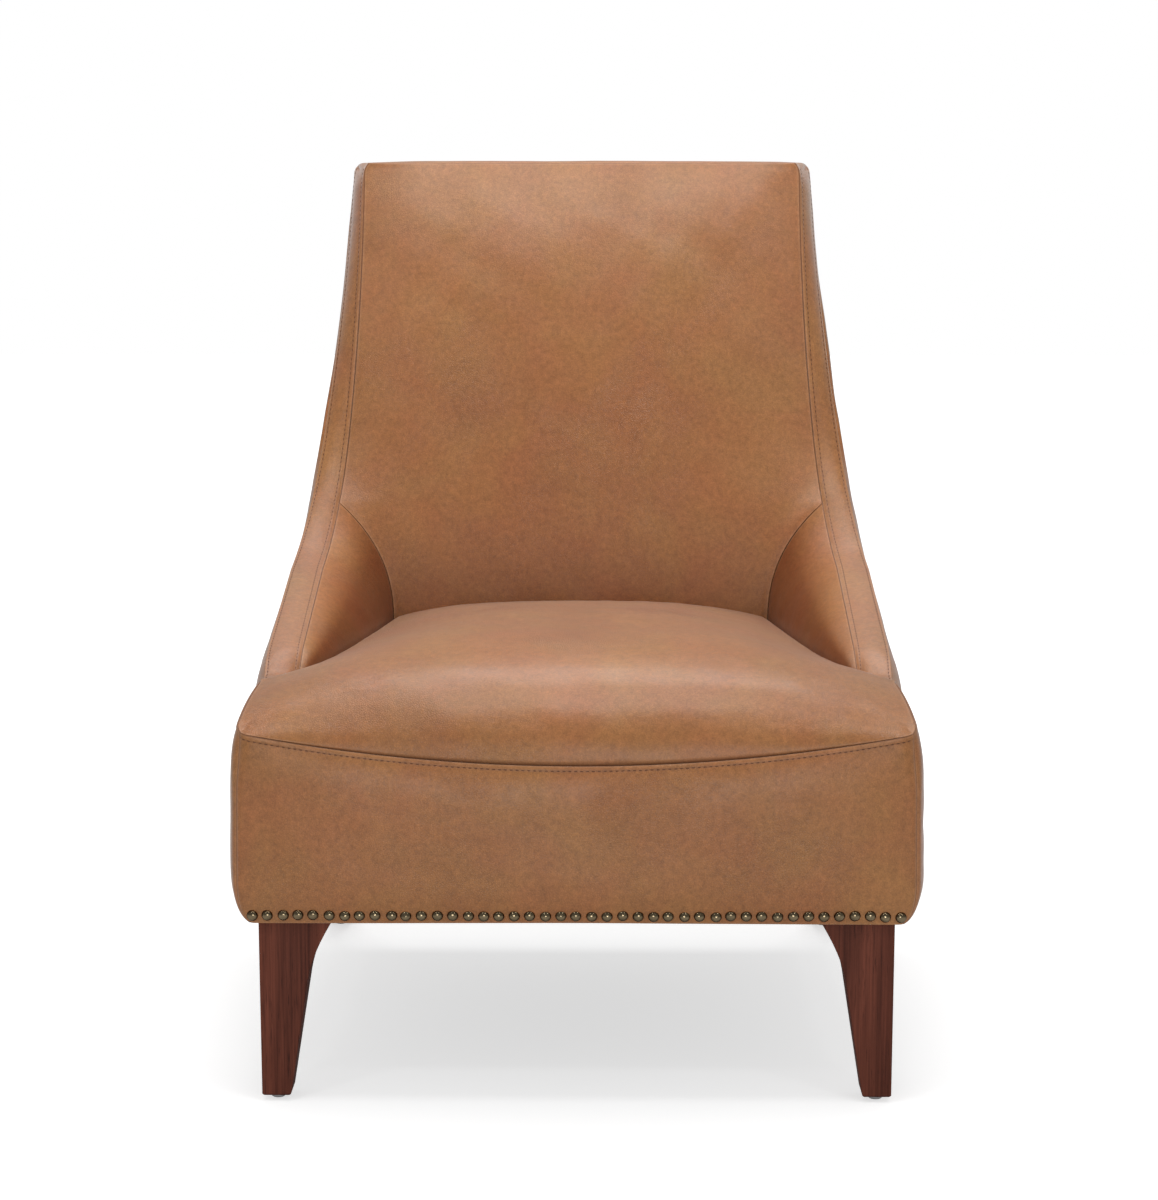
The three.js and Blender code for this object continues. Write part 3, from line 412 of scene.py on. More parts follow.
    def back_rim(self, z: Array) -> Array:
        """The side edge of the inside back: the arm's rear edge below, the border's inner seam above."""
        share = np.concatenate([[-1.0], np.linspace(0.0, 1.0, 80)])
        seam = self.inner_seam(np.linspace(1.0, 2.0, 120))[1:]
        rim = np.vstack([self.arm_point(np.ones_like(share), share), seam])
        return xyz(np.interp(z, rim[:, 2], rim[:, 0]), np.interp(z, rim[:, 2], rim[:, 1]), z)

    def inside_back(self, x: Array, z: Array) -> Array:
        """Depth of the inside back: a raked plane, swollen in its middle and drawn forward to its side edges.

        The side part is (edge - plane) |x / edge|^4, with the edge's curve smoothed over height.

        Args:
            x: places across.
            z: heights.

        Returns:
            The depth at each point.
        """
        heights = np.linspace(300.0, 1040.0, 371)
        rim = self.back_rim(np.clip(heights, 352.0, self.top))
        half, seam = (np.interp(z, heights, blurred(rim[:, k], 20, 9.0)) for k in range(2))
        plane, share = self.inside_depth(z), ramp(z, self.seat_side, self.top)
        u = np.minimum(np.abs(x) / half, 1.06)
        swell = self.back_swell * np.sin(math.pi * share) * (1.0 - u**2)
        return mix(plane, seam, u**4) - swell + self.top_roll * share**12 * (1.0 - u**4)

    def seat_surface(self, x: Array, depth: Array) -> Array:
        """Height of the seat: from its middle to its side edge as |x / edge|^p, p being 2 at the seam, 3 to 3.7 behind.

        Args:
            x: places across.
            depth: depths behind the front plane.

        Returns:
            The height at each point.
        """
        line = np.linspace(-60.0, 620.0, 341)
        half = np.interp(depth, line, blurred(self.seat_half_at(line), 45, 15.0))
        share = ramp(depth, self.front_swell, self.front_roll)
        middle, side, rim = self.seat_middle_at(depth), self.seat_side_at(depth), self.seat_half_at(depth)
        power = 2.0 + 1.8 * smoothstep(share, 0.0, 0.12) - 0.8 * share
        height, at_rim = (mix(middle, side, np.minimum(w / half, 1.25) ** power) for w in (np.abs(x), rim))
        return height + (side - at_rim) * (np.abs(x) / rim) ** 12

    def soften(self, points: Array) -> Array:
        """Rounds the two upright front edges and the top corners.

        Args:
            points: points of a cover.

        Returns:
            The points, moved onto the round corners.
        """
        x, y, z = np.abs(points[..., 0]), points[..., 1], points[..., 2]
        r = mix(self.corner_radius, self.lobe_corner_radius, smoothstep(z, 330.0, self.corner_seam - 4.0))
        edge = self.side_half(z) + self.front_flare - r
        a, b = rounded(x - edge, self.front_swell + r - y)
        x, y, r = edge + a, self.front_swell + r - b, self.top_corner_radius
        a, b = rounded(x - self.top_half + r, z - self.top + r)
        return xyz((self.top_half - r + a) * np.where(points[..., 0] < 0.0, -1.0, 1.0), y, self.top - r + b)

    def calm(self, points: Array) -> Array:
        """Share of a seam's roll that is left: 0.15 where three seams meet, rising to 1 away from there."""
        right = xyz(np.abs(points[..., 0]), points[..., 1], points[..., 2])
        lobe = np.array([self.side_half(self.corner_seam) + self.front_flare, self.front_swell, self.corner_seam])
        top = np.hypot(right[..., 0] - self.top_half, right[..., 2] - self.top)
        front, arm = (np.linalg.norm(right - place, axis=-1) for place in (lobe, self.inner_seam(1.0)))
        return mix(0.15, 1.0, smoothstep(np.minimum.reduce([top, front, 3.0 * arm]), 6.0, 26.0))

    def world(self, points: Array) -> Array:
        """Points in metres in the frame's coordinates, whose origin lies under the middle of the depth."""
        return (points - np.array([0.0, self.top_depth / 2.0, 0.0])) * MM


# Meshes


def link(name: str, data: bpy.types.ID) -> Piece:
    """A new object around its data, linked to the scene at the origin."""
    made = bpy.data.objects.new(name, data)
    bpy.context.scene.collection.objects.link(made)
    return made


def new_object(name: str, vertices: Array, faces: Iterable) -> Piece:
    """A smooth mesh object at the origin.

    Args:
        name: the piece's name.
        vertices: an array of points in metres.
        faces: index rows.

    Returns:
        The new object, linked to the scene.
    """
    mesh = bpy.data.meshes.new(name)
    mesh.from_pydata(vertices.reshape(-1, 3), [], faces)
    mesh.update()
    mesh.polygons.foreach_set("use_smooth", np.ones(len(mesh.polygons), dtype=bool))
    return link(name, mesh)


def shell_faces(rows: int, columns: int) -> Array:
    """Quads of a closed shell: an outer grid, an inner grid after it, and the walls between their rims."""
    index = np.arange(rows * columns).reshape(rows, columns)
    outer = np.stack([index[:-1, :-1], index[:-1, 1:], index[1:, 1:], index[1:, :-1]], axis=-1).reshape(-1, 4)
    rim = np.concatenate([index[0, :-1], index[:-1, -1], index[-1, :0:-1], index[:0:-1, 0]])
    after = np.roll(rim, -1)
    walls = np.column_stack([after, rim, rim + index.size, after + index.size])
    return np.vstack([outer, (outer + index.size)[:, ::-1], walls])


def tube_faces(rings: int, sides: int) -> Array:
    """Quads of an open tube whose points are numbered ring by ring."""
    index = np.arange(rings * sides).reshape(rings, sides)
    after = np.roll(index, -1, axis=1)
    return np.stack([index[:-1], after[:-1], after[1:], index[1:]], axis=-1).reshape(-1, 4)


def repeated(faces: Array, points: int, count: int) -> Array:
    """The faces of a shape with so many points, repeated for each of its copies."""
    return (faces[None] + points * np.arange(count)[:, None, None]).reshape(-1, faces.shape[1])


def outward_faces(vertices: Array, faces: Array) -> Array:
    """The faces, turned round if they enclose a negative volume."""
    a, b, c, d = (vertices[faces[:, k]] for k in range(4))
    volume = np.einsum("ij,ij->", a, np.cross(b, c)) + np.einsum("ij,ij->", a, np.cross(c, d))
    return faces if volume > 0.0 else faces[:, ::-1]


def set_attribute(piece: Piece, name: str, values: Array) -> None:
    """Stores one number for each vertex, for the materials to read."""
    layer = piece.data.attributes.new(name, "FLOAT", "POINT")
    layer.data.foreach_set("value", values.astype(np.float32).ravel())


def dress(piece: Piece, material: Material, slot: str, *nodes: str) -> Piece:
    """Gives a piece its material, lets it ride on the body and stand for its nodes.

    Args:
        piece: the new piece.
        material: what it wears.
        slot: the record's material slot; not used.
        nodes: the CAD nodes that it replaces, if any.

    Returns:
        The piece.
    """
    piece.data.materials.clear()
    piece.data.materials.append(material)
    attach(piece, ROOT)
    if nodes:
        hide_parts(*nodes)
    LOG.info("%s: %d faces", piece.name, len(piece.data.polygons))
    return piece


class Edge(Enum):
    """The four edges of a grid."""

    FIRST_ROW = "first row"
    LAST_ROW = "last row"
    FIRST_COLUMN = "first column"
    LAST_COLUMN = "last column"


@dataclass(frozen=True)
class Rim:
    """How a cover ends at an edge: a rolled edge, and for a topstitched seam a fold and a stitch groove."""

    radius: Array = 1.0
    stitch: Array | None = None
    fold: Array = 1.0
    groove: float = 0.7
    dirt_width: float = 0.65
    # Painted shade laid into the stitch groove, and its width below.
    stitch_dirt: Array = 0.45
    groove_width: float = 0.8
    stitch_dirt_width: float = 0.7

    def relief(self, distance: Array) -> Array:
        """Height that the fold adds and the stitches take away, at a distance from the rim."""
        if self.stitch is None:
            return np.zeros_like(distance)
        fold = 1.0 - smoothstep(distance, self.stitch - 0.6, self.stitch + 1.6)
        return self.fold * (fold - self.groove * bell(distance - self.stitch, self.groove_width))

    def dirt(self, distance: Array) -> Array:
        """Where the seam line is dyed dark, 1 in the seam and falling over its dirt width, and painted shade in the
        stitch groove.
        """
        seam = bell(distance, self.dirt_width)
        if self.stitch is None:
            return seam
        return np.maximum(seam, self.stitch_dirt * bell(distance - self.stitch, self.stitch_dirt_width))

    def wear(self, distance: Array) -> Array:
        """Where hands polish the leather pale: the crest beside the seam."""
        return bell(distance - 0.8 - 0.6 * self.radius, 0.7 + 0.3 * self.radius)


SEAM = Rim()
SEWN = {edge: SEAM for edge in Edge}
# Its stitch groove carries painted shade.
TOPSTITCHED = Rim(radius=0.8, stitch=5.4, fold=0.8, stitch_dirt=0.6)
FOLDED = Rim(radius=3.2)


@dataclass
class Cover:
    """One cover as a closed shell: a base surface on a grid, its rims, and an inner side at a depth below it."""

    name: str
    form: BodyForm
    base: Array
    outward: Triple
    rims: dict[Edge, Rim]
    depth: float = 8.0
    uneven: float = 0.5
    seed: int = 1
    # Share of painted shade that darkens the leather colour, in hollows and at the back's foot.
    burnish: Array = 0.0
    inset: float = 1.8
    inset_fade: float = 7.0
    inner_seam: float = 0.7
    outer: Array = field(init=False)
    normals: Array = field(init=False)

    def grid_normals(self, points: Array) -> Array:
        """Unit normals of a grid: the cross product of its two gradients, on the outward side."""
        cross = unit(np.cross(np.gradient(points, axis=0), np.gradient(points, axis=1)))
        return cross if (cross @ np.array(self.outward)).sum() > 0.0 else -cross

    def by_edge(self, down: Array, across: Array, up: Array, back: Array) -> dict[Edge, Array]:
        """Four arrays by the edge that they start from."""
        return {Edge.FIRST_ROW: down, Edge.LAST_ROW: up, Edge.FIRST_COLUMN: across, Edge.LAST_COLUMN: back}

    def distances(self) -> dict[Edge, Array]:
        """Distance of each point from each edge, summed along the grid's lines."""
        down, across = run(self.base), run(self.base.swapaxes(0, 1)).T
        return self.by_edge(down, across, down[-1:] - down, across[:, -1:] - across)

    def inner_base(self, distances: dict[Edge, Array]) -> Array:
        """The base drawn in from its rims by inset * exp(-distance / inset_fade), clear of its neighbours."""
        down, across = (unit(np.gradient(self.base, axis=axis)) for axis in (0, 1))
        ways = self.by_edge(down, across, -down, -across)
        return self.base + self.inset * sum(
            ways[edge] * np.exp(-distances[edge] / self.inset_fade)[..., None] for edge in self.rims
        )

    def build(self) -> Piece:
        """Works out the outer and inner side, and makes the mesh with its masks.

        Returns:
            The new piece.
        """
        distances, shape = self.distances(), self.base.shape[:2]
        rims = [(rim, distances[edge]) for edge, rim in self.rims.items()]
        drop = np.maximum.reduce([rolled_edge(away, rim.radius) for rim, away in rims])
        relief = sum(rim.relief(away) for rim, away in rims)
        nearest = np.minimum.reduce([away for _, away in rims])
        slow = wobble(self.base, self.uneven, 130.0, self.seed)
        slow = slow + wobble(self.base, 0.35 * self.uneven, 45.0, self.seed + 1)
        height = (relief - drop) * self.form.calm(self.base) + slow * (1.0 - np.exp(-nearest / 18.0))
        normals = self.grid_normals(self.base)
        self.outer = self.form.soften(self.base + normals * height[..., None])
        self.normals = self.grid_normals(self.outer)
        inner = self.form.soften(self.inner_base(distances) - normals * self.depth)
        vertices = self.form.world(np.stack([self.outer, inner]).reshape(-1, 3))
        piece = new_object(self.name, vertices, outward_faces(vertices, shell_faces(*shape)))
        masks = {
            # The seam mask: dyed seam lines, and painted shade in the stitch grooves.
            "seam": (np.maximum.reduce([rim.dirt(away) for rim, away in rims]), self.inner_seam),
            "wear": (np.maximum.reduce([rim.wear(away) for rim, away in rims]), 0.0),
            # The painted shade mask, the same on both sides of the shell.
            "burnish": (self.burnish, self.burnish),
        }
        for name, sides in masks.items():
            set_attribute(piece, name, np.stack([np.broadcast_to(side, shape) for side in sides]))
        return piece

    def upholster(self, leather: Material, fill: float | None, *nodes: str) -> "Cover":
        """Builds the cover as a leather piece.

        Args:
            leather: its material.
            fill: how much of it is padding, or None for bare leather; not used.
            nodes: the CAD nodes that it stands for.

        Returns:
            The cover itself, with its outer side and normals worked out.
        """
        piece = dress(self.build(), leather, "leather", *nodes)
        return self

    def line_at(self, edge: Edge, distance: Array) -> tuple[Array, Array]:
        """The line on the outer side at a distance from an edge.

        Args:
            edge: the edge that the line follows.
            distance: the distance from it, or one distance for each point along the edge.

        Returns:
            Its points and the surface's normals there.
        """
        grids = (self.distances()[edge], self.outer, self.normals)
        if edge in (Edge.FIRST_ROW, Edge.LAST_ROW):
            grids = tuple(grid.swapaxes(0, 1) for grid in grids)
        if edge in (Edge.LAST_ROW, Edge.LAST_COLUMN):
            grids = tuple(grid[:, ::-1] for grid in grids)
        away, *sides = grids
        distance = np.broadcast_to(distance, away.shape[:1])
        after = np.argmax(away >= distance[:, None], axis=1)
        line, before = np.arange(len(after)), np.maximum(after - 1, 0)
        gap = np.maximum(away[line, after] - away[line, before], 1e-9)
        share = ((distance - away[line, before]) / gap)[:, None]
        return tuple(mix(side[line, before], side[line, after], share) for side in sides)


@dataclass(frozen=True)
class Settling:
    """A cloth simulation that lets a cover settle over its stuffing, with its seams held."""

    cap: float = 3.5
    depth: float = 30.0
    spacing: float = 13.0
    pressure: float = 4.0
    frames: int = 20
    quality: int = 6
    mass: float = 0.25
    stretch: float = 12.0
    shear: float = 6.0
    bend: float = 3.0
    evenings: int = 12

    def coarse(self, along: Array) -> Array:
        """Numbers of the grid lines that are kept, about one each spacing."""
        wanted = np.arange(0.0, along[-1], self.spacing)
        return np.unique(np.append(np.searchsorted(along, wanted), len(along) - 1))

    def inflated(self, vertices: Array, faces: Array, held: Array) -> Array:
        """Blows a closed shell up by pressure.

        Args:
            vertices: its points in metres.
            faces: index rows.
            held: whether each point is pinned.

        Returns:
            The points after the last frame.
        """
        body = new_object("settling", vertices, faces)
        pins = body.vertex_groups.new(name="held")
        pins.add(np.flatnonzero(held.ravel()).tolist(), 1.0, "REPLACE")
        cloth = body.modifiers.new("cloth", "CLOTH")
        settings = cloth.settings
        settings.quality, settings.mass = self.quality, self.mass
        settings.tension_stiffness = settings.compression_stiffness = self.stretch
        settings.shear_stiffness, settings.bending_stiffness = self.shear, self.bend
        settings.use_pressure, settings.uniform_pressure_force = True, self.pressure
        settings.vertex_group_mass = pins.name
        settings.effector_weights.gravity = 0.0
        cloth.point_cache.frame_start, cloth.point_cache.frame_end = 1, self.frames
        for number in range(1, self.frames + 1):
            bpy.context.scene.frame_set(number)
        mesh = body.evaluated_get(bpy.context.evaluated_depsgraph_get()).to_mesh()
        moved = np.empty(len(mesh.vertices) * 3)
        mesh.vertices.foreach_get("co", moved)
        bpy.data.objects.remove(body)
        bpy.context.scene.frame_set(1)
        return moved.reshape(-1, 3)

    def settle(self, cover: Cover) -> None:
        """Moves the cover's base as its leather settles.

        The grid is thinned and closed with an inner side, blown up with its rims and inner side pinned, its
        shift capped as cap * tanh(length / cap), spread back over the fine grid and evened out.

        Args:
            cover: the cover, before it is built.
        """
        distances = cover.distances()
        down, across = distances[Edge.FIRST_ROW].mean(axis=1), distances[Edge.FIRST_COLUMN].mean(axis=0)
        rows, columns = self.coarse(down), self.coarse(across)
        outer = cover.base[np.ix_(rows, columns)]
        inner = outer - cover.grid_normals(cover.base)[np.ix_(rows, columns)] * self.depth
        vertices = np.stack([outer, inner]).reshape(-1, 3) * MM
        held = np.ones((2, len(rows), len(columns)), dtype=bool)
        held[0, 1:-1, 1:-1] = False
        moved = self.inflated(vertices, outward_faces(vertices, shell_faces(len(rows), len(columns))), held)
        shift = (moved - vertices)[: len(rows) * len(columns)].reshape(outer.shape) / MM
        length = np.maximum(np.linalg.norm(shift, axis=-1, keepdims=True), 1e-9)
        shift *= self.cap * np.tanh(length / self.cap) / length
        spread = [
            np.stack([np.interp(fine, fine[kept], one) for one in np.eye(len(kept))], axis=1)
            for fine, kept in ((down, rows), (across, columns))
        ]
        fine = np.einsum("ar,rck,bc->abk", spread[0], shift, spread[1])
        for _ in range(self.evenings):
            around = 0.25 * (fine[:-2, 1:-1] + fine[2:, 1:-1] + fine[1:-1, :-2] + fine[1:-1, 2:])
            fine[1:-1, 1:-1] = mix(fine[1:-1, 1:-1], around, 0.5)
        LOG.info("%s settled by up to %.1f mm", cover.name, np.abs(fine).max())
        cover.base = cover.base + fine


# Shader nodes


class Wiring:
    """Adds nodes to a tree and joins them, in few words."""

    def __init__(self, tree: Tree) -> None:
        """Works on an emptied tree."""
        self.tree = tree
        tree.nodes.clear()

    def add(self, kind: str, settings: dict | None = None, **inputs: object) -> Node:
        """Adds a node.

        Args:
            kind: the node's type, without its ShaderNode prefix.
            settings: attributes of the node.
            inputs: values or sockets by input name, an underscore for a space, or as i0, i1 by number.

        Returns:
            The node.
        """
        node = self.tree.nodes.new(kind if kind.startswith("Node") else "ShaderNode" + kind)
        for name, value in (settings or {}).items():
            setattr(node, name, value)
        for name, value in inputs.items():
            numbered = name[0] == "i" and name[1:].isdigit()
            self.give(node.inputs[int(name[1:]) if numbered else name.replace("_", " ")], value)
        return node

    def give(self, socket: Socket, value: object) -> None:
        """Links a socket to an input, or sets the input's own value."""
        if isinstance(value, Socket):
            self.tree.links.new(value, socket)
        else:
            socket.default_value = value

    def math(self, operation: str, *values: object, clamp: bool = False) -> Socket:
        """The result of a Math node."""
        inputs = {f"i{k}": value for k, value in enumerate(values)}
        return self.add("Math", {"operation": operation, "use_clamp": clamp}, **inputs).outputs[0]

    def times(self, first: object, *others: object) -> Socket:
        """The product of sockets and numbers."""
        for other in others:
            first = self.math("MULTIPLY", first, other)
        return first

    def total(self, start: object, *terms: tuple[object, object]) -> Socket:
        """A start plus each term's value times its weight."""
        for value, weight in terms:
            start = self.math("MULTIPLY_ADD", value, weight, start)
        return start

    def spread(self, value: object, low: float, high: float, to_low: float = 0.0, to_high: float = 1.0) -> Socket:
        """A value, clamped to low and high and spread over to_low to to_high."""
        ends = {"From_Min": low, "From_Max": high, "To_Min": to_low, "To_Max": to_high}
        return self.add("MapRange", None, Value=value, **ends).outputs[0]

    def noise(self, vector: object, scale: object, detail: float = 2.0, rough: float = 0.5, bend: float = 0.0) -> Socket:
        """The value of a Noise Texture."""
        ways = {"Scale": scale, "Detail": detail, "Roughness": rough, "Distortion": bend}
        return self.add("TexNoise", None, Vector=vector, **ways).outputs["Fac"]

    def mapped(self, vector: object, **change: Triple) -> Socket:
        """Coordinates that are moved, turned or scaled."""
        return self.add("Mapping", None, Vector=vector, **change).outputs[0]

    def attribute(self, name: str) -> Socket:
        """A mask that the mesh carries."""
        return self.add("Attribute", {"attribute_name": name}).outputs["Fac"]

    def group(self, tree: Tree, vector: object, **inputs: object) -> bpy.types.NodeOutputs:
        """The outputs of a shared group."""
        return self.add("Group", {"node_tree": tree}, Vector=vector, **inputs).outputs

    def ramp(self, value: object, *stops: tuple[float, Colour]) -> Socket:
        """A ramp of two colours at their places."""
        node = self.add("ValToRGB", None, Fac=value)
        for element, (place, colour) in zip(node.color_ramp.elements, stops):
            element.position, element.color = place, colour
        return node.outputs["Color"]

    def blend(self, share: object, low: object, high: object, how: str = "MIX") -> Socket:
        """Two colours mixed."""
        return self.add("Mix", {"data_type": "RGBA", "blend_type": how}, i0=share, i6=low, i7=high).outputs[2]


def node_group(name: str, inputs: Sequence[str], outputs: Sequence[str]) -> tuple[Tree, Wiring, Sequence[Socket]]:
    """An empty group with named sockets: the first input is a vector, everything else a number.

    Args:
        name: the group's name.
        inputs: the inputs' names.
        outputs: the outputs' names.

    Returns:
        The group, its wiring and the sockets of its inputs.
    """
    tree = bpy.data.node_groups.new(name, "ShaderNodeTree")
    for way, labels in (("INPUT", inputs), ("OUTPUT", outputs)):
        for label in labels:
            kind = "Vector" if label == "Vector" else "Float"
            tree.interface.new_socket(label, in_out=way, socket_type="NodeSocket" + kind)
    wiring = Wiring(tree)
    return tree, wiring, wiring.add("NodeGroupInput").outputs


def clouds_group() -> Tree:
    """Uneven dye: noise at three sizes, weighted 5, 3 and 2."""
    tree, w, given = node_group("uneven dye", ("Vector", "Size"), ("Value",))
    vector, size = given["Vector"], given["Size"]
    slow = w.noise(vector, size, 3.0, 0.55, 0.6)
    middle = w.noise(vector, w.times(size, 5.3), 5.0, 0.6, 0.3)
    fine = w.noise(vector, w.times(size, 34.0), 4.0, 0.6)
    w.add("NodeGroupOutput", None, Value=w.total(0.0, (slow, 0.5), (middle, 0.3), (fine, 0.2)))
    return tree


def grain_group() -> Tree:
    """Leather grain: small cells with creases between them, broken up by fine noise."""
    tree, w, given = node_group("hide grain", ("Vector", "Size"), ("Height", "Pores"))
    vector = given["Vector"]
    bent = w.add("TexNoise", None, Vector=vector, Scale=130.0, Detail=2.0).outputs["Color"]
    warp = w.add("VectorMath", {"operation": "SCALE"}, i0=bent, Scale=0.0016).outputs[0]
    place = w.add("VectorMath", {"operation": "ADD"}, i0=vector, i1=warp).outputs[0]
    cells = w.add("TexVoronoi", {"feature": "DISTANCE_TO_EDGE"}, Vector=place, Scale=given["Size"], Randomness=1.0)
    creases = w.spread(cells.outputs["Distance"], 0.0, 0.32)
    height = w.total(0.0, (creases, 0.75), (w.noise(vector, 2600.0, 3.0, 0.6), 0.35))
    w.add("NodeGroupOutput", None, Height=height, Pores=w.math("SUBTRACT", 1.0, creases, clamp=True))
    return tree


def fibres_group() -> Tree:
    """Wood fibres: noise stretched along one way, with slow bands and short pores."""
    tree, w, given = node_group("wood fibres", ("Vector",), ("Bands", "Fibres", "Pores"))
    slow, thin, short = (
        w.mapped(given["Vector"], Scale=scale) for scale in ((26.0, 26.0, 1.6), (380.0, 380.0, 5.0), (900.0, 900.0, 40.0))
    )
    bands, fibres = w.noise(slow, 1.0, 4.0, 0.6, 1.4), w.noise(thin, 1.0, 5.0, 0.65, 0.3)
    w.add("NodeGroupOutput", None, Bands=bands, Fibres=fibres, Pores=w.spread(w.noise(short, 1.0), 0.62, 0.72))
    return tree


@dataclass
class ShaderBook:
    """The node groups that the materials share."""

    clouds: Tree = field(default_factory=clouds_group)
    grain: Tree = field(default_factory=grain_group)
    fibres: Tree = field(default_factory=fibres_group)


def start_material(name: str) -> tuple[Material, Wiring, Socket]:
    """A new material, its wiring, and the object coordinates."""
    material = bpy.data.materials.new(name)
    material.use_nodes = True
    wiring = Wiring(material.node_tree)
    return material, wiring, wiring.add("TexCoord").outputs["Object"]


def close_material(w: Wiring, constants: dict[str, object], height: object, lift: float, **inputs: object) -> None:
    """Ends a material with a Principled BSDF and a bump.

    Args:
        w: the material's wiring.
        constants: plain values of the shader's own sockets.
        height: the height for the Bump node.
        lift: the bump's distance in metres.
        inputs: sockets that change over the surface.
    """
    bump = w.add("Bump", None, Height=height, Distance=lift, Strength=1.0).outputs[0]
    shader = w.add("BsdfPrincipled", None, Normal=bump, **inputs)
    for name, value in constants.items():
        shader.inputs[name].default_value = value
    w.add("OutputMaterial", None, Surface=shader.outputs[0])


@dataclass(frozen=True)
class LeatherFinish:
    """Aniline leather: uneven dye, a fine grain, darker seams, painted shade in stitch grooves and hollows, and a satin
    surface.
    """

    name: str
    offset: Triple
    sheen: float = 0.3
    red: Colour = (0.400, 0.148, 0.049, 1.0)
    tan: Colour = (0.405, 0.175, 0.053, 1.0)
    pore: Colour = (0.200, 0.070, 0.026, 1.0)
    worn: Colour = (0.560, 0.290, 0.150, 1.0)
    # Colour of the dyed seam lines, also used for the painted shade in stitch grooves.
    seam: Colour = (0.140, 0.052, 0.020, 1.0)
    # Colour multiplied in as painted shade in the arms' hollows and at the foot of the inside back.
    burnished: Colour = (0.46, 0.32, 0.26, 1.0)
    cloud: float = 7.0
    cell: float = 480.0

    def material(self, book: ShaderBook) -> Material:
        """Builds the material."""
        made, w, place = start_material(self.name)
        moved = w.mapped(place, Location=self.offset)
        cloud = w.group(book.clouds, moved, Size=self.cloud)[0]
        grain = w.group(book.grain, moved, Size=self.cell)
        hue = w.noise(w.mapped(moved, Location=(9.0, 4.0, 2.0)), 11.0, 3.0, 0.55, 0.5)
        mottle, speck = w.noise(moved, 150.0, 5.0, 0.75), w.noise(moved, 640.0, 3.0, 0.7)
        value = w.total(-0.175, (cloud, 0.45), (mottle, 1.05), (speck, 0.85))
        colour = w.ramp(hue, (0.32, self.red), (0.68, self.tan))
        colour = w.add("HueSaturation", None, Value=value, Color=colour).outputs[0]
        tumbled = w.spread(w.noise(moved, 6.0, 3.0, 0.5, 0.8), 0.5, 0.68, 0.35, 1.0)
        colour = w.blend(w.times(grain["Pores"], tumbled, 0.30), colour, self.pore)
        # Painted shade: the colour is darkened in the arms' hollows and at the foot of the inside back.
        colour = w.blend(w.attribute("burnish"), colour, self.burnished, "MULTIPLY")
        colour = w.blend(w.times(w.attribute("wear"), mottle, 0.65), colour, self.worn)
        # Seam lines darkened with their dye, and painted shade in the stitch grooves.
        seam = w.attribute("seam")
        colour = w.blend(w.times(seam, 0.65), colour, self.seam)
        rough = w.total(0.27, (w.noise(moved, 24.0, 4.0, 0.6), 0.16), (seam, 0.25))
        height = w.total(w.times(grain["Height"], tumbled), (mottle, 1.1))
        surface = {"Specular IOR Level": 0.5, "Sheen Weight": self.sheen, "Sheen Roughness": 0.4}
        close_material(w, surface, height, 0.00022, Base_Color=colour, Roughness=rough)
        return made


@dataclass(frozen=True)
class WoodFinish:
    """Wood with fibres along z: stained and lacquered, or plain."""

    name: str
    dark: Colour = (0.42, 0.26, 0.13, 1.0)
    light: Colour = (0.62, 0.42, 0.24, 1.0)
    pore: Colour = (0.33, 0.19, 0.09, 1.0)
    rough: float = 0.6
    gloss: float = 0.25
    turn: Triple = (0.0, 0.0, 0.0)

    def material(self, book: ShaderBook) -> Material:
        """Builds the material."""
        made, w, place = start_material(self.name)
        wood = w.group(book.fibres, w.mapped(place, Rotation=self.turn))
        share = w.total(0.0, (wood["Bands"], 0.5), (wood["Fibres"], 0.5))
        colour = w.ramp(share, (0.36, self.dark), (0.64, self.light))
        colour = w.blend(w.times(wood["Pores"], 0.6), colour, self.pore)
        rough = w.total(self.rough, (wood["Fibres"], 0.12))
        height = w.math("SUBTRACT", wood["Fibres"], wood["Pores"])
        close_material(w, {"Specular IOR Level": self.gloss}, height, 0.00008, Base_Color=colour, Roughness=rough)
        return made


@dataclass(frozen=True)
class MetalFinish:
    """Metal with a dull film; the hollow attribute, where a piece has one, darkens its rims."""

    name: str
    bright: Colour
    dull: Colour
    rough: float = 0.3
    speckle: float = 900.0

    def material(self, book: ShaderBook) -> Material:
        """Builds the material."""
        made, w, place = start_material(self.name)
        film = w.group(book.clouds, place, Size=self.speckle / 10.0)[0]
        film = w.times(w.math("SUBTRACT", film, 0.4), 1.2)
        share = w.math("ADD", film, w.attribute("hollow"), clamp=True)
        colour, rough = w.blend(share, self.bright, self.dull), w.total(self.rough, (share, 0.15))
        fine = w.noise(place, self.speckle, 3.0, 0.6)
        close_material(w, {"Metallic": 1.0}, fine, 0.00003, Base_Color=colour, Roughness=rough)
        return made


class Weave(Enum):
    """How a cloth is made up."""

    PLAIN = "plain"
    FELTED = "felted"
    FOAMED = "foamed"


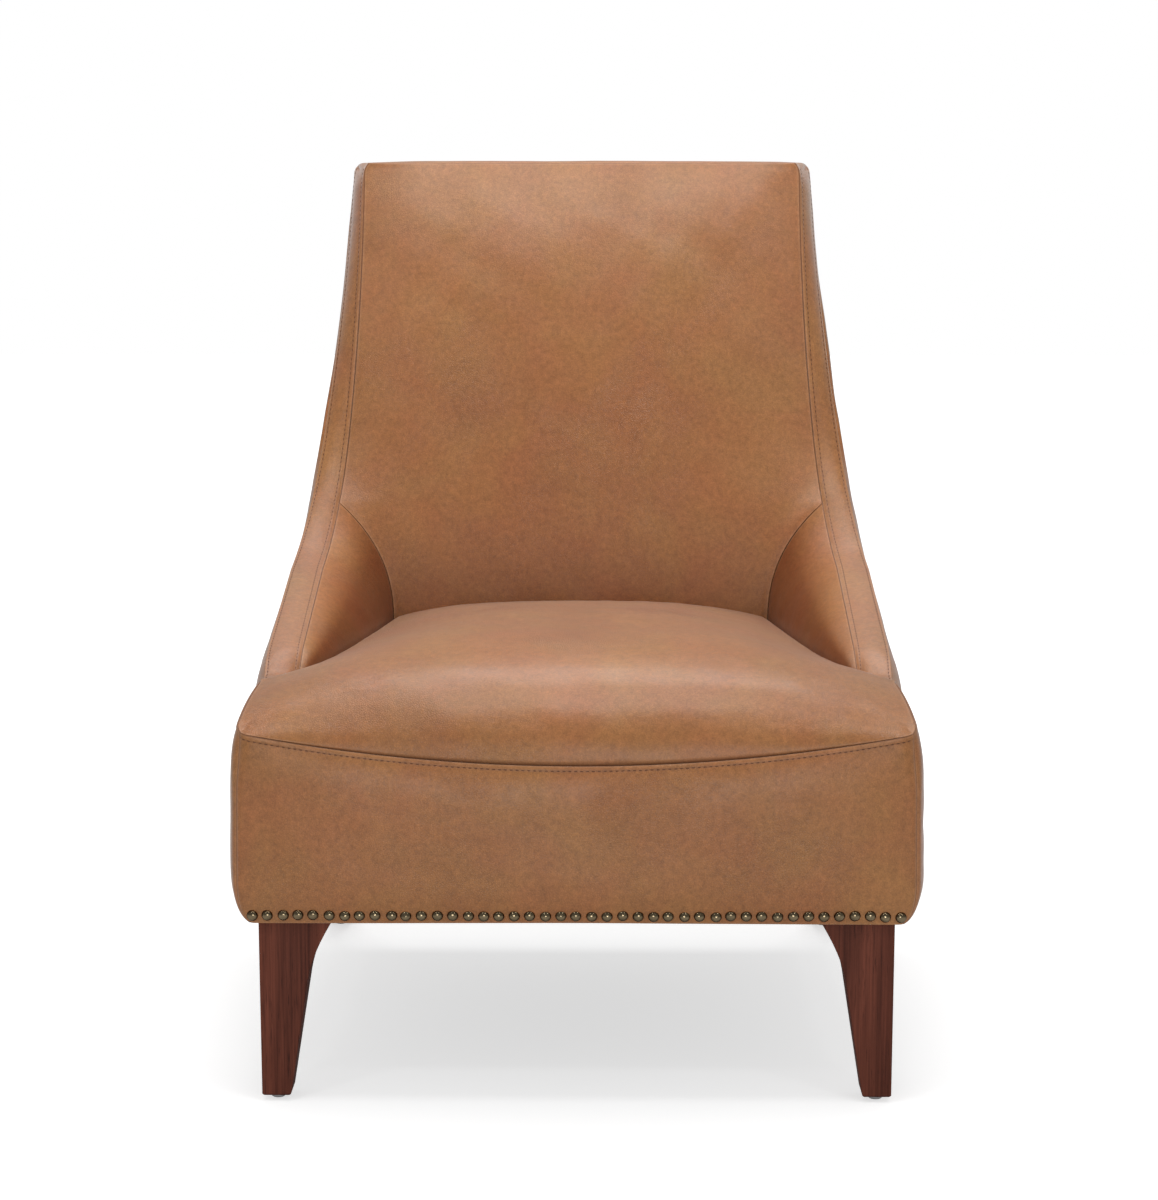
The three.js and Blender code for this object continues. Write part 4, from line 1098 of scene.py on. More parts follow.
@dataclass(frozen=True)
class ClothFinish:
    """Cloth, felt or foam: a weave or a tangle as bump, with a slightly uneven colour."""

    name: str
    dark: Colour
    light: Colour
    weave: Weave
    threads: float

    def material(self, book: ShaderBook) -> Material:
        """Builds the material."""
        made, w, place = start_material(self.name)
        cloud = w.group(book.clouds, place, Size=9.0)[0]
        if self.weave is Weave.PLAIN:
            waves = [
                w.add("TexWave", {"bands_direction": way}, Vector=place, Scale=self.threads / 20.0).outputs["Fac"]
                for way in ("X", "Y")
            ]
            height = w.math("MAXIMUM", *waves)
        elif self.weave is Weave.FELTED:
            height = w.noise(place, self.threads, 5.0, 0.7, 1.0)
        else:
            height = w.add("TexVoronoi", None, Vector=place, Scale=self.threads).outputs["Distance"]
        share = w.total(0.0, (cloud, 0.6), (height, 0.4))
        colour = w.ramp(share, (0.25, self.dark), (0.75, self.light))
        close_material(w, {}, height, 0.0002, Base_Color=colour, Roughness=w.total(0.8, (height, 0.1)))
        return made


@dataclass(frozen=True)
class PlasticFinish:
    """Moulded plastic, finely frosted and a little scuffed."""

    name: str
    colour: Colour
    scuffed: Colour

    def material(self, book: ShaderBook) -> Material:
        """Builds the material."""
        made, w, place = start_material(self.name)
        scuff = w.group(book.clouds, place, Size=60.0)[0]
        colour = w.ramp(scuff, (0.4, self.colour), (0.7, self.scuffed))
        rough = w.total(0.4, (scuff, 0.25))
        close_material(w, {}, w.noise(place, 1500.0, 3.0), 0.00004, Base_Color=colour, Roughness=rough)
        return made


# Upholstery


class Side(Enum):
    """The two sides of the chair, by the sign of x."""

    RIGHT = 1
    LEFT = -1

    @property
    def word(self) -> str:
        """The side's word in the nodes' names."""
        return self.name.lower()

    def mirrored(self, points: Array) -> Array:
        """Points of the right side, taken to this side."""
        return points * np.array([self.value, 1.0, 1.0])


@dataclass
class SeatUpholstery:
    """The tight seat: a crowned pad with a lobe in front of each arm."""

    form: BodyForm
    step: float = 6.0
    width: float = 600.0
    lean_start: float = 380.0
    rear_gap: float = 1.2
    lobe_tuck: float = 2.0
    arm_tuck: float = 11.0

    def cover(self) -> Cover:
        """The seat on a grid: rows at one depth from the front seam back, columns at shares of the half-width."""
        f = self.form
        rows = graded(f.tub_rear - f.front_swell, self.step, ROLL_OFFSETS, TUCK_OFFSETS)
        rows = mix(f.front_swell, f.tub_rear, rows)
        depth, share = lattice(rows, graded(self.width, self.step, SEAM_OFFSETS, SEAM_OFFSETS))
        x = (2.0 * share - 1.0) * f.seat_half_at(depth)
        z = f.seat_surface(x, depth)
        rear = f.inside_back(x, z) - self.rear_gap - f.tub_rear
        y = depth + rear * ramp(depth, self.lean_start, f.tub_rear) ** 2
        behind = smoothstep(rows, f.arm_front + 14.0, f.arm_inner_front + 20.0)
        tuck = mix(self.lobe_tuck, self.arm_tuck, behind)
        side = Rim(mix(1.0, tuck, smoothstep(rows, 12.0, 34.0))[:, None])
        rims = {Edge.FIRST_ROW: Rim(0.6), Edge.LAST_ROW: Rim(9.0), Edge.FIRST_COLUMN: side, Edge.LAST_COLUMN: side}
        return Cover("seat", f, xyz(x, y, z), (0.0, 0.0, 1.0), rims, 16.0, 0.7, 11)

    def build(self, leather: Material) -> None:
        """Makes the seat in place of its cover and its foam."""
        cover = self.cover()
        Settling(cap=3.0).settle(cover)
        cover.upholster(leather, 0.9, "seat_cover", "seat_foam")


@dataclass
class BackUpholstery:
    """The inside back, drawn forward to its side seams, with painted shade towards its foot."""

    form: BodyForm
    step: float = 6.5
    low: float = 372.0
    width: float = 560.0
    # Strength and height of the painted shade at the foot.
    burnish: float = 0.5
    burnish_height: float = 130.0

    def cover(self) -> Cover:
        """The inside back on a grid: rows at one height, columns at shares of the half-width."""
        f = self.form
        heights = mix(self.low, f.top, graded(f.top - self.low, self.step, OPEN_OFFSETS, SEAM_OFFSETS))
        heights[np.argmin(np.abs(heights - f.arm_seam))] = f.arm_seam
        z, share = lattice(heights, graded(self.width, self.step, SEAM_OFFSETS, SEAM_OFFSETS))
        u, rim = 2.0 * share - 1.0, f.back_rim(heights)
        x = u * rim[:, :1]
        miss = rim[:, 1] - f.inside_back(rim[:, 0], heights)
        y = f.inside_back(x, z) + miss[:, None] * np.abs(u) ** 14
        rims = SEWN | {Edge.FIRST_ROW: FOLDED}
        # Painted shade at the foot of the inside back, fading out 130 mm above the seat's side.
        burnish = self.burnish * (1.0 - smoothstep(z, f.seat_side, f.seat_side + self.burnish_height))
        return Cover("inside_back", f, xyz(x, y, z), (0.0, -1.0, 0.0), rims, 16.0, 0.8, 23, burnish)

    def build(self, leather: Material) -> None:
        """Makes the inside back in place of its cover and its foam."""
        cover = self.cover()
        Settling(cap=3.5).settle(cover)
        cover.upholster(leather, 0.9, "inside_back_cover", "back_foam")


@dataclass
class ArmUpholstery:
    """The inside of one arm: a hollow face under the border, with painted shade in the hollow."""

    form: BodyForm
    side: Side
    step: float = 5.0
    length: float = 370.0
    height: float = 190.0
    # Strength of the painted shade in the hollow.
    burnish: float = 0.9

    def cover(self) -> Cover:
        """The inside arm on a grid: rows at stations from the front to the back, columns from the foot up."""
        f = self.form
        up = graded(self.height, self.step, OPEN_OFFSETS, SEAM_OFFSETS) * 1.7 - 0.7
        station, share = lattice(graded(self.length, self.step, TUCK_OFFSETS, SEAM_OFFSETS), up)
        base = f.arm_point(station, share)
        ahead = np.array([16.0, -24.0, -14.0]) * np.linspace(1.0, 0.0, 6)[:-1, None]
        base = self.side.mirrored(np.concatenate([base[:1] + ahead[:, None, :], base]))
        # Painted shade over the hollow face, fading out towards the border's seam.
        burnish = self.burnish * (1.0 - smoothstep(np.vstack([share[: len(ahead)], share]), 0.62, 1.0))
        rims, outward = {Edge.LAST_ROW: SEAM, Edge.LAST_COLUMN: SEAM}, (-self.side.value, 0.0, 0.3)
        name, seed = f"inside_arm_{self.side.word}", 31 + self.side.value
        return Cover(name, f, base, outward, rims, 10.0, 0.5, seed, burnish)

    def build(self, leather: Material) -> None:
        """Makes the inside arm in place of its cover and its foam."""
        cover, word = self.cover(), self.side.word
        Settling(cap=2.5, depth=18.0).settle(cover)
        cover.upholster(leather, 0.85, f"inside_arm_cover_{word}", f"arm_foam_{word}")


@dataclass
class WingBorder:
    """The narrow strip that follows one wing edge, topstitched along both its seams."""

    form: BodyForm
    side: Side
    step: float = 7.0
    length: float = 1000.0
    width: float = 38.0
    swell: float = 3.4
    nose: float = 9.0
    inner_stitch: tuple[float, float] = (7.6, 5.6)
    outer_stitch: float = 4.4
    stitch: Array = field(init=False)

    def cover(self) -> Cover:
        """The border on a grid: rows at stations from the arm's front to the top, columns from seam to seam."""
        f = self.form
        stations = 2.0 * graded(self.length, self.step, OPEN_OFFSETS, SEAM_OFFSETS)
        across = graded(self.width, 3.0, SEAM_OFFSETS[:12], SEAM_OFFSETS[:12])
        base = mix(f.inner_seam(stations)[:, None, :], f.outer_seam(stations)[:, None, :], across[None, :, None])
        turn = np.linspace(0.0, math.pi / 2.0, 8)[1:]
        reach = np.append(self.nose * np.sin(turn), [self.nose, self.nose])
        fall = np.append(self.nose * (1.0 - np.cos(turn)), [self.nose + 8.0, self.nose + 20.0])
        ahead = xyz(0.0, -reach, -fall)[::-1, None, :]
        base = self.side.mirrored(np.concatenate([base[:1] + ahead, base]))
        name, seed = f"border_{self.side.word}", 41 + self.side.value
        cover = Cover(name, f, base, (0.3 * self.side.value, -1.0, 1.0), {}, 7.0, 0.35, seed)
        level = np.concatenate([np.ones(len(ahead)), 1.0 - smoothstep(stations, 1.92, 1.99)])
        lift = self.swell * level[:, None] * pillow(across, 2.4)
        cover.base = base + cover.grid_normals(base) * lift[..., None]
        stitch = mix(*self.inner_stitch, smoothstep(stations, 0.7, 1.5))
        self.stitch = np.concatenate([np.full(len(ahead), self.inner_stitch[0]), stitch])
        cover.rims = {
            Edge.LAST_ROW: SEAM,
            Edge.FIRST_COLUMN: Rim(stitch=self.stitch[:, None], fold=0.7),
            Edge.LAST_COLUMN: Rim(radius=0.8, stitch=self.outer_stitch, fold=0.6, stitch_dirt=0.6),
        }
        return cover

    def build(self, leather: Material, stitching: "Topstitching") -> None:
        """Makes the border in place of its node, and lays the stitches along both its seams."""
        cover = self.cover().upholster(leather, None, f"wing_border_{self.side.word}")
        stitching.follow(*cover.line_at(Edge.FIRST_COLUMN, self.stitch))
        stitching.follow(*cover.line_at(Edge.LAST_COLUMN, self.outer_stitch))


@dataclass
class SideUpholstery:
    """The outside of one side, from the front edge to the rear edge."""

    form: BodyForm
    side: Side
    step: float = 8.0
    fine_step: float = 5.0
    height: float = 260.0
    front_fill: float = 75.0
    rear_fill: float = 100.0
    foot_share: float = 14.0 / 15.0
    stitch: float = 5.4
    stitched_from: float = 50.0
    stitched_short: float = 8.0

    def top_line(self) -> tuple[Array, Array]:
        """The side's upper boundary: along the seat's lobe, the border's outer seam and the end of the top.

        Returns:
            Its points, and the depths of the foot below them.
        """
        f = self.form
        lobe = graded(122.0, self.fine_step, SEAM_OFFSETS, PLAIN_OFFSETS)[:-1]
        lobe = mix(f.front_swell, f.arm_front, lobe)
        z = f.seat_side_at(lobe)
        stations = 2.0 * graded(1000.0, self.step, PLAIN_OFFSETS, PLAIN_OFFSETS)
        seam = f.outer_seam(stations)
        behind = graded(44.0, self.fine_step, PLAIN_OFFSETS, SEAM_OFFSETS)[1:]
        top = xyz(f.top_half, mix(seam[-1, 1], f.top_depth, behind), f.top)
        shares = np.concatenate([self.foot_share * stations / 2.0, mix(self.foot_share, 1.0, behind)])
        line = np.vstack([xyz(f.side_half(z) + f.flare(lobe), lobe, z), seam, top])
        return line, np.concatenate([lobe, mix(f.arm_front, f.depth, shares)])

    def cover(self) -> Cover:
        """The side on a grid: rows along the upper boundary, columns from the foot up."""
        f = self.form
        top, foot = self.top_line()
        shares = graded(self.height, self.step, FOOT_OFFSETS, SEAM_OFFSETS)
        y = mix(foot[:, None], top[:, 1:2], shares)
        z = mix(f.bottom, top[:, 2:3], shares)
        front = 1.0 - (1.0 - ramp(y, f.front_swell, f.front_swell + self.front_fill)) ** 3
        rear = 1.0 - (1.0 - ramp(f.rear_depth(z) - y, 0.0, self.rear_fill)) ** 3
        swell = mix(f.side_swell, f.wing_swell, ramp(z, f.seat_side, f.wing_start)) * front * rear * pillow(shares)
        base = xyz(self.side.value * (f.side_half(z) + f.flare(y) + swell), y, z)
        fold = 1.0 - smoothstep(top[:, 1:2], f.arm_front - 20.0, f.arm_front)
        stitched = Rim(radius=0.9, stitch=self.stitch, fold=fold, stitch_dirt=0.3 * fold)
        rims = SEWN | {Edge.FIRST_COLUMN: FOLDED, Edge.LAST_COLUMN: stitched}
        name, seed = f"side_{self.side.word}", 51 + self.side.value
        return Cover(name, f, base, (self.side.value, 0.0, 0.0), rims, 8.0, 0.7, seed)

    def build(self, leather: Material, stitching: "Topstitching") -> None:
        """Makes the side in place of its cover and padding, with stitches along the seat's lobe."""
        word = self.side.word
        cover = self.cover().upholster(leather, 0.9, f"side_cover_{word}", f"side_padding_{word}")
        points, normals = cover.line_at(Edge.LAST_COLUMN, self.stitch)
        end = self.form.arm_front - self.stitched_short
        lobe = (points[:, 1] > self.stitched_from) & (points[:, 1] < end)
        stitching.follow(points[lobe], normals[lobe])


@dataclass
class FrontUpholstery:
    """The front panel with its row of domed nails."""

    form: BodyForm
    step: float = 3.4
    row_step: float = 5.0
    height: float = 180.0
    width: float = 690.0
    count: int = 43
    row_half: float = 335.0
    from_bottom: float = 10.3
    end_drop: float = 2.2
    end_length: float = 40.0
    radius: float = 6.0
    rise: float = 4.2
    sides: int = 20
    dent: float = 0.9
    dent_width: float = 8.0
    seed: int = 61

    def nail_places(self) -> tuple[Array, Array]:
        """x and z of the nails: an even row that dips at both ends, with small seeded errors of the hand."""
        draw = np.random.default_rng(self.seed)
        x = np.linspace(-self.row_half, self.row_half, self.count) + draw.normal(0.0, 0.4, self.count)
        z = self.form.bottom + self.from_bottom + draw.normal(0.0, 0.3, self.count)
        z = z - self.end_drop * smoothstep(np.abs(x), self.row_half - self.end_length, self.row_half)
        return np.clip(x, -self.row_half, self.row_half), z

    def cover(self) -> Cover:
        """The front panel on a grid: rows from the bottom edge up to the front seam."""
        f = self.form
        rows = graded(self.height, self.row_step, NAIL_OFFSETS, SEAM_OFFSETS)
        share, across = lattice(rows, graded(self.width, self.step, SEAM_OFFSETS, SEAM_OFFSETS))
        u = 2.0 * across - 1.0
        x = u * (f.side_half(mix(f.bottom, f.corner_seam, share)) + f.front_flare)
        z = mix(f.bottom, mix(f.front_seam, f.corner_seam, u**2), share)
        y = f.front_swell * (1.0 - pillow(share) * pillow(across))
        nail_x, nail_z = self.nail_places()
        away = np.hypot(x[..., None] - nail_x, z[..., None] - nail_z)
        y = y + self.dent * bell(away, self.dent_width).sum(axis=-1)
        rims = SEWN | {Edge.FIRST_ROW: FOLDED, Edge.LAST_ROW: TOPSTITCHED}
        return Cover("front_panel", f, xyz(x, y, z), (0.0, -1.0, 0.0), rims, 8.0, 0.5, self.seed)

    def build(self, leather: Material, brass: Material, stitching: "Topstitching") -> None:
        """Makes the front panel in place of its cover and pad, its nails, and the stitches under its top seam."""
        cover = self.cover().upholster(leather, 0.9, "front_panel_cover", "front_pad")
        dress(self.nails(cover), brass, "nail_brass")
        stitching.follow(*cover.line_at(Edge.LAST_ROW, TOPSTITCHED.stitch))

    def nails(self, cover: Cover) -> Piece:
        """The nail heads: a domed profile turned about an axis that follows the panel, tilted a little at random.

        Args:
            cover: the built front panel.

        Returns:
            The new piece.
        """
        draw = np.random.default_rng(self.seed + 1)
        radii = np.array([0.0, 0.28, 0.54, 0.76, 0.91, 0.985, 1.0, 0.9])
        rises = np.array([1.0, 0.965, 0.84, 0.62, 0.35, 0.1, -0.08, -0.3])
        turn = np.linspace(0.0, 2.0 * math.pi, self.sides, endpoint=False)
        spread = self.radius * radii[:, None]
        ring = xyz(spread * np.cos(turn), -self.rise * rises[:, None], spread * np.sin(turn)).reshape(-1, 3)
        flat, (x, z) = cover.outer.reshape(-1, 3), self.nail_places()
        near = np.argsort(np.hypot(flat[:, 0] - x[:, None], flat[:, 2] - z[:, None]), axis=1)[:, :6]
        vertices = xyz(x, flat[near, 1].mean(axis=1) - 0.1, z)[:, None, :] + ring
        lean, yaw = draw.normal(0.0, 0.06, (self.count, 2)).T[..., None]
        vertices[..., 1] += lean * ring[:, 2] + yaw * ring[:, 0]
        vertices = self.form.world(vertices.reshape(-1, 3))
        faces = repeated(tube_faces(len(radii), self.sides), len(ring), self.count)
        piece = new_object("nail_heads", vertices, outward_faces(vertices, faces))
        hollow = np.repeat(smoothstep(radii, 0.62, 1.0), self.sides)
        set_attribute(piece, "hollow", np.tile(hollow, self.count))
        return piece


@dataclass
class RearUpholstery:
    """The outside back."""

    form: BodyForm
    step: float = 10.0
    height: float = 820.0
    width: float = 640.0
    flat_top: float = 60.0

    def build(self, leather: Material) -> None:
        """Makes the outside back, a raked panel with a slight swell, in place of its cover."""
        f = self.form
        rows = graded(self.height, self.step, FOOT_OFFSETS, SEAM_OFFSETS)
        share, across = lattice(rows, graded(self.width, self.step, SEAM_OFFSETS, SEAM_OFFSETS))
        z = mix(f.bottom, f.top, share)
        swell = f.rear_swell * pillow(share) * pillow(across) * smoothstep(f.top - z, 0.0, self.flat_top)
        base = xyz((2.0 * across - 1.0) * f.side_half(z), f.rear_depth(z) + swell, z)
        cover = Cover("outside_back", f, base, (0.0, 1.0, 0.0), SEWN | {Edge.FIRST_ROW: FOLDED}, 8.0, 0.7, 71)
        cover.upholster(leather, 0.9, "outside_back_cover")


@dataclass
class TopUpholstery:
    """The strip over the top of the back."""

    form: BodyForm
    swell: float = 3.0
    width: float = 560.0
    length: float = 84.0

    def build(self, leather: Material) -> None:
        """Makes the strip, from the inside back's top seam to the outside back, in place of its node."""
        f = self.form
        shares = graded(self.width, 6.0, SEAM_OFFSETS, SEAM_OFFSETS)
        rows = graded(self.length, 4.0, SEAM_OFFSETS, SEAM_OFFSETS)[:, None]
        u, inner = 2.0 * shares - 1.0, f.inner_half(f.top)
        miss = f.inner_seam(2.0)[1] - f.inside_back(inner, f.top)
        front = f.inside_back(u * inner, np.full_like(u, f.top)) + miss * np.abs(u) ** 14
        y = mix(front, f.top_depth, rows)
        half = mix(inner, f.top_half, np.clip((y - front) / (f.outer_seam(2.0)[1] - front), 0.0, 1.0))
        z = f.top + self.swell * pillow(rows) * pillow(shares)
        cover = Cover("top_strip", f, xyz(u * half, y, z), (0.0, 0.0, 1.0), SEWN, 7.0, 0.3, 81)
        cover.upholster(leather, None, "top_border")


@dataclass
class Topstitching:
    """All the visible stitches, as short lengths of thread laid in their grooves."""

    form: BodyForm
    pitch: float = 6.0
    length: float = 3.6
    thickness: float = 0.95
    lines: list[tuple[Array, Array, Array]] = field(default_factory=list)

    def follow(self, points: Array, normals: Array) -> None:
        """Lays stitches along a line, one each pitch.

        Args:
            points: the line's points.
            normals: the surface's normals there.
        """
        length = run(points)
        places = np.arange(self.pitch, length[-1] - self.pitch, self.pitch)
        at, ahead, normal = (
            xyz(*(np.interp(where, length, rows[:, k]) for k in range(3)))
            for where, rows in ((places, points), (places + 1.0, points), (places, normals))
        )
        way = unit(ahead - at)
        self.lines.append((at, way, unit(normal - way * (way * normal).sum(axis=1, keepdims=True))))

    def build(self, thread: Material) -> None:
        """Makes the stitches: five rings of six points each, thin and sunk at both ends."""
        at, way, normal = (np.concatenate(rows) for rows in zip(*self.lines))
        along = np.array([-1.0, -0.72, 0.0, 0.72, 1.0])[:, None]
        girth = np.array([0.3, 0.85, 1.0, 0.85, 0.3])[:, None] * self.thickness / 2.0
        turn = np.linspace(0.0, 2.0 * math.pi, 6, endpoint=False)
        lift = 0.12 - 0.42 * along**2
        ring = xyz(along * self.length / 2.0, girth * np.cos(turn) + lift, girth * np.sin(turn)).reshape(-1, 3)
        basis = np.stack([way, normal, np.cross(way, normal)], axis=1)
        vertices = at[:, None, :] + np.einsum("vk,skc->svc", ring, basis)
        caps = np.array([(0, 1, 2, 3), (0, 3, 4, 5), (27, 26, 25, 24), (24, 29, 28, 27)])
        faces = repeated(np.vstack([tube_faces(5, 6), caps]), len(ring), len(at))
        points = self.form.world(vertices.reshape(-1, 3))
        dress(new_object("topstitching", points, outward_faces(points, faces)), thread, "thread")


# Rigid pieces and cloths


@dataclass
class Legs:
    """Four tapered legs with softened arrises, and a glide under each foot."""

    leg_bevel: float = 1.6
    leg_shortest: float = 4.5
    glide_bevel: float = 0.5
    glide_shortest: float = 3.9

    def softened(self, node: str, name: str, width: float, shortest: float) -> Piece:
        """A copy of a node's shape, merged, with its sharp longer edges bevelled.

        Args:
            node: the CAD node.
            name: the new piece's name.
            width: the bevel's width in millimetres.
            shortest: edges shorter than this, in millimetres, stay sharp.

        Returns:
            The new object.
        """
        mesh = bmesh.new()
        mesh.from_mesh(frame["nodes"][node].data)
        bmesh.ops.remove_doubles(mesh, verts=mesh.verts, dist=2e-6)
        bmesh.ops.dissolve_limit(mesh, angle_limit=math.radians(1.0), verts=mesh.verts, edges=mesh.edges)
        sharp = [
            edge
            for edge in mesh.edges
            if len(edge.link_faces) == 2
            and edge.calc_face_angle(0.0) > math.radians(25.0)
            and edge.calc_length() > shortest * MM
        ]
        rounding = {"offset": width * MM, "segments": 3, "profile": 0.5, "affect": "EDGES", "clamp_overlap": True}
        bmesh.ops.bevel(mesh, geom=sharp, **rounding)
        bmesh.ops.triangulate(mesh, faces=[face for face in mesh.faces if len(face.verts) > 4])
        data = bpy.data.meshes.new(name)
        mesh.to_mesh(data)
        mesh.free()
        data.polygons.foreach_set("use_smooth", np.ones(len(data.polygons), dtype=bool))
        data.set_sharp_from_angle(angle=math.radians(34.0))
        return link(name, data)

    def build(self, wood: Material, plastic: Material) -> None:
        """Makes the legs and the glides in place of their nodes."""
        for end in ("front", "rear"):
            for word in ("left", "right"):
                leg, glide = f"{end}_leg_{word}", f"glide_{end}_{word}"
                piece = self.softened(leg, f"wooden_{leg}", self.leg_bevel, self.leg_shortest)
                dress(piece, wood, "stained_wood", leg)
                piece = self.softened(glide, f"plastic_{glide}", self.glide_bevel, self.glide_shortest)
                dress(piece, plastic, "glide_plastic", glide)


@dataclass
class Underside:
    """The lining cloth under the frame, which sags a little, and the felt over the springs; sizes in metres."""

    lining_sag: float = 0.004
    lining_thickness: float = 0.0006
    felt_thickness: float = 0.004
    ripple: float = 0.0004
    counts: tuple[int, int] = (61, 55)

    def cloth(self, node: str, name: str, sag: float, thickness: float) -> tuple[Piece, tuple[float, float]]:
        """A sheet over a node's box: its middle hangs down by sag * (1 - u^2) (1 - v^2).

        Args:
            node: the CAD node.
            name: the new piece's name.
            sag: how far the middle hangs.
            thickness: the cloth's thickness.

        Returns:
            The sheet, and the width and length that it was cut to.
        """
        low, high = (np.array(corner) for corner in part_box(node))
        u, v = lattice(*(np.linspace(-1.0, 1.0, count) for count in self.counts))
        x, y = (mix(low[k], high[k], (share + 1.0) / 2.0) for k, share in enumerate((u, v)))
        z = high[2] - (sag - self.ripple * np.sin(u * 19.0 + v * 7.0)) * (1.0 - u**2) * (1.0 - v**2)
        outer = xyz(x, y, z)
        vertices = np.stack([outer, outer - np.array([0.0, 0.0, thickness])]).reshape(-1, 3)
        faces = outward_faces(vertices, shell_faces(*self.counts))
        return new_object(name, vertices, faces), (high[0] - low[0], high[1] - low[1])

    def build(self, lining: Material, felt: Material) -> None:
        """Makes both sheets in place of their nodes."""
        sheet, size = self.cloth("dust_cover", "lining_cloth", self.lining_sag, self.lining_thickness)
        dress(sheet, lining, "black_cloth", "dust_cover")
        pad, size = self.cloth("seat_felt", "spring_felt", 0.0, self.felt_thickness)
        dress(pad, felt, "felt", "seat_felt")


@dataclass
class InnerFrame:
    """The hidden frame, springs and straps: CAD nodes that keep their shape and get their finish."""

    finishes: dict[str, Material]

    def build(self) -> None:
        """Gives each node that is still shown the material of its slot."""
        slots = {entry["node"]: entry["material_slot"] for entry in frame["record"]["subparts"]}
        for name, node in sorted(frame["nodes"].items()):
            if node.hide_render:
                continue
            material = self.finishes[slots[name]]
            if not node.material_slots:
                node.data.materials.append(material)
            for place in node.material_slots:
                place.material = material
            LOG.info("%s wears %s", name, material.name)


# Studio


@dataclass(frozen=True)
class Lamp:
    """A rectangular area lamp that points from its place to its aim, in metres and watts."""

    name: str
    place: Triple
    size: tuple[float, float]
    power: float
    aim: Triple = (0.0, 0.0, 0.5)

    def build(self) -> None:
        """Makes the lamp, out of the camera's sight."""
        light = bpy.data.lights.new(self.name, "AREA")
        light.shape, light.energy = "RECTANGLE", self.power
        light.size, light.size_y = self.size
        lamp = link(self.name, light)
        lamp.location, lamp.visible_camera = self.place, False
        lamp.rotation_euler = (Vector(self.aim) - Vector(self.place)).to_track_quat("-Z", "Y").to_euler()


LAMPS = (
    Lamp("top_lamp", (0.0, -0.25, 2.25), (1.0, 0.9), 6.5),
    Lamp("front_top_lamp", (0.0, -0.62, 2.25), (1.2, 0.25), 6.0),
    Lamp("rear_top_lamp", (0.0, 0.8, 2.25), (1.6, 0.4), 15.0),
    Lamp("front_lamp", (0.0, -3.3, 0.45), (1.2, 0.6), 12.5),
    Lamp("left_lamp", (-1.1, -1.5, 2.2), (0.2, 0.2), 2.5, (0.0, 0.0, 0.4)),
    Lamp("right_lamp", (1.1, -1.5, 2.2), (0.2, 0.2), 2.5, (0.0, 0.0, 0.4)),
)


@dataclass
class Studio:
    """A pale floor, soft lamps and the camera at the photograph's place."""

    lens: float = 72.55
    sensor: float = 36.0
    place: Triple = (0.025, -2.784, 0.9336)
    pitch: float = 9.385
    yaw: float = 0.527
    floor_half: float = 12.0
    white: Colour = (1.0, 1.0, 1.0, 1.0)
    grey: Colour = (0.66, 0.66, 0.66, 1.0)

    def sky(self) -> None:
        """A world that is white to the camera, and dimmer in reflections than in the light that it gives."""
        world = bpy.data.worlds.new("studio")
        world.use_nodes = True
        w = Wiring(world.node_tree)
        ray = w.add("LightPath").outputs
        strength = w.math("ADD", w.total(0.48, (ray["Is Glossy Ray"], -0.26)), ray["Is Camera Ray"], clamp=True)
        back = w.add("Background", None, Color=self.white, Strength=strength)
        w.add("OutputWorld", None, Surface=back.outputs[0])
        bpy.context.scene.world = world

    def floor(self) -> None:
        """A wide grey floor that fades to white around the chair, for the camera alone."""
        corners = [(-1.0, -1.0, 0.0), (1.0, -1.0, 0.0), (1.0, 1.0, 0.0), (-1.0, 1.0, 0.0)]
        floor = new_object("studio_floor", self.floor_half * np.array(corners), [(0, 1, 2, 3)])
        material, w, place = start_material("pale floor")
        away = w.add("VectorMath", {"operation": "LENGTH"}, i0=place).outputs["Value"]
        camera = w.add("LightPath").outputs["Is Camera Ray"]
        shader = w.add("BsdfPrincipled", None, Base_Color=self.grey, Roughness=0.9, Specular_IOR_Level=0.0)
        shader.inputs["Emission Color"].default_value = self.white
        w.give(shader.inputs["Emission Strength"], w.times(camera, w.spread(away, 0.4, 1.6, 0.6, 0.95)))
        w.add("OutputMaterial", None, Surface=shader.outputs[0])
        floor.data.materials.append(material)

    def camera(self) -> None:
        """The camera, level from side to side, at the photograph's place and lens."""
        data = bpy.data.cameras.new("camera")
        data.lens, data.sensor_width = self.lens, self.sensor
        camera = link("camera", data)
        camera.location = self.place
        camera.rotation_euler = (math.radians(90.0 - self.pitch), 0.0, math.radians(self.yaw))
        bpy.context.scene.camera = camera

    def build(self) -> None:
        """Sets the camera, sky, floor, lamps and view."""
        self.camera()
        self.sky()
        self.floor()
        for lamp in LAMPS:
            lamp.build()
        bpy.context.scene.view_settings.view_transform = "Standard"


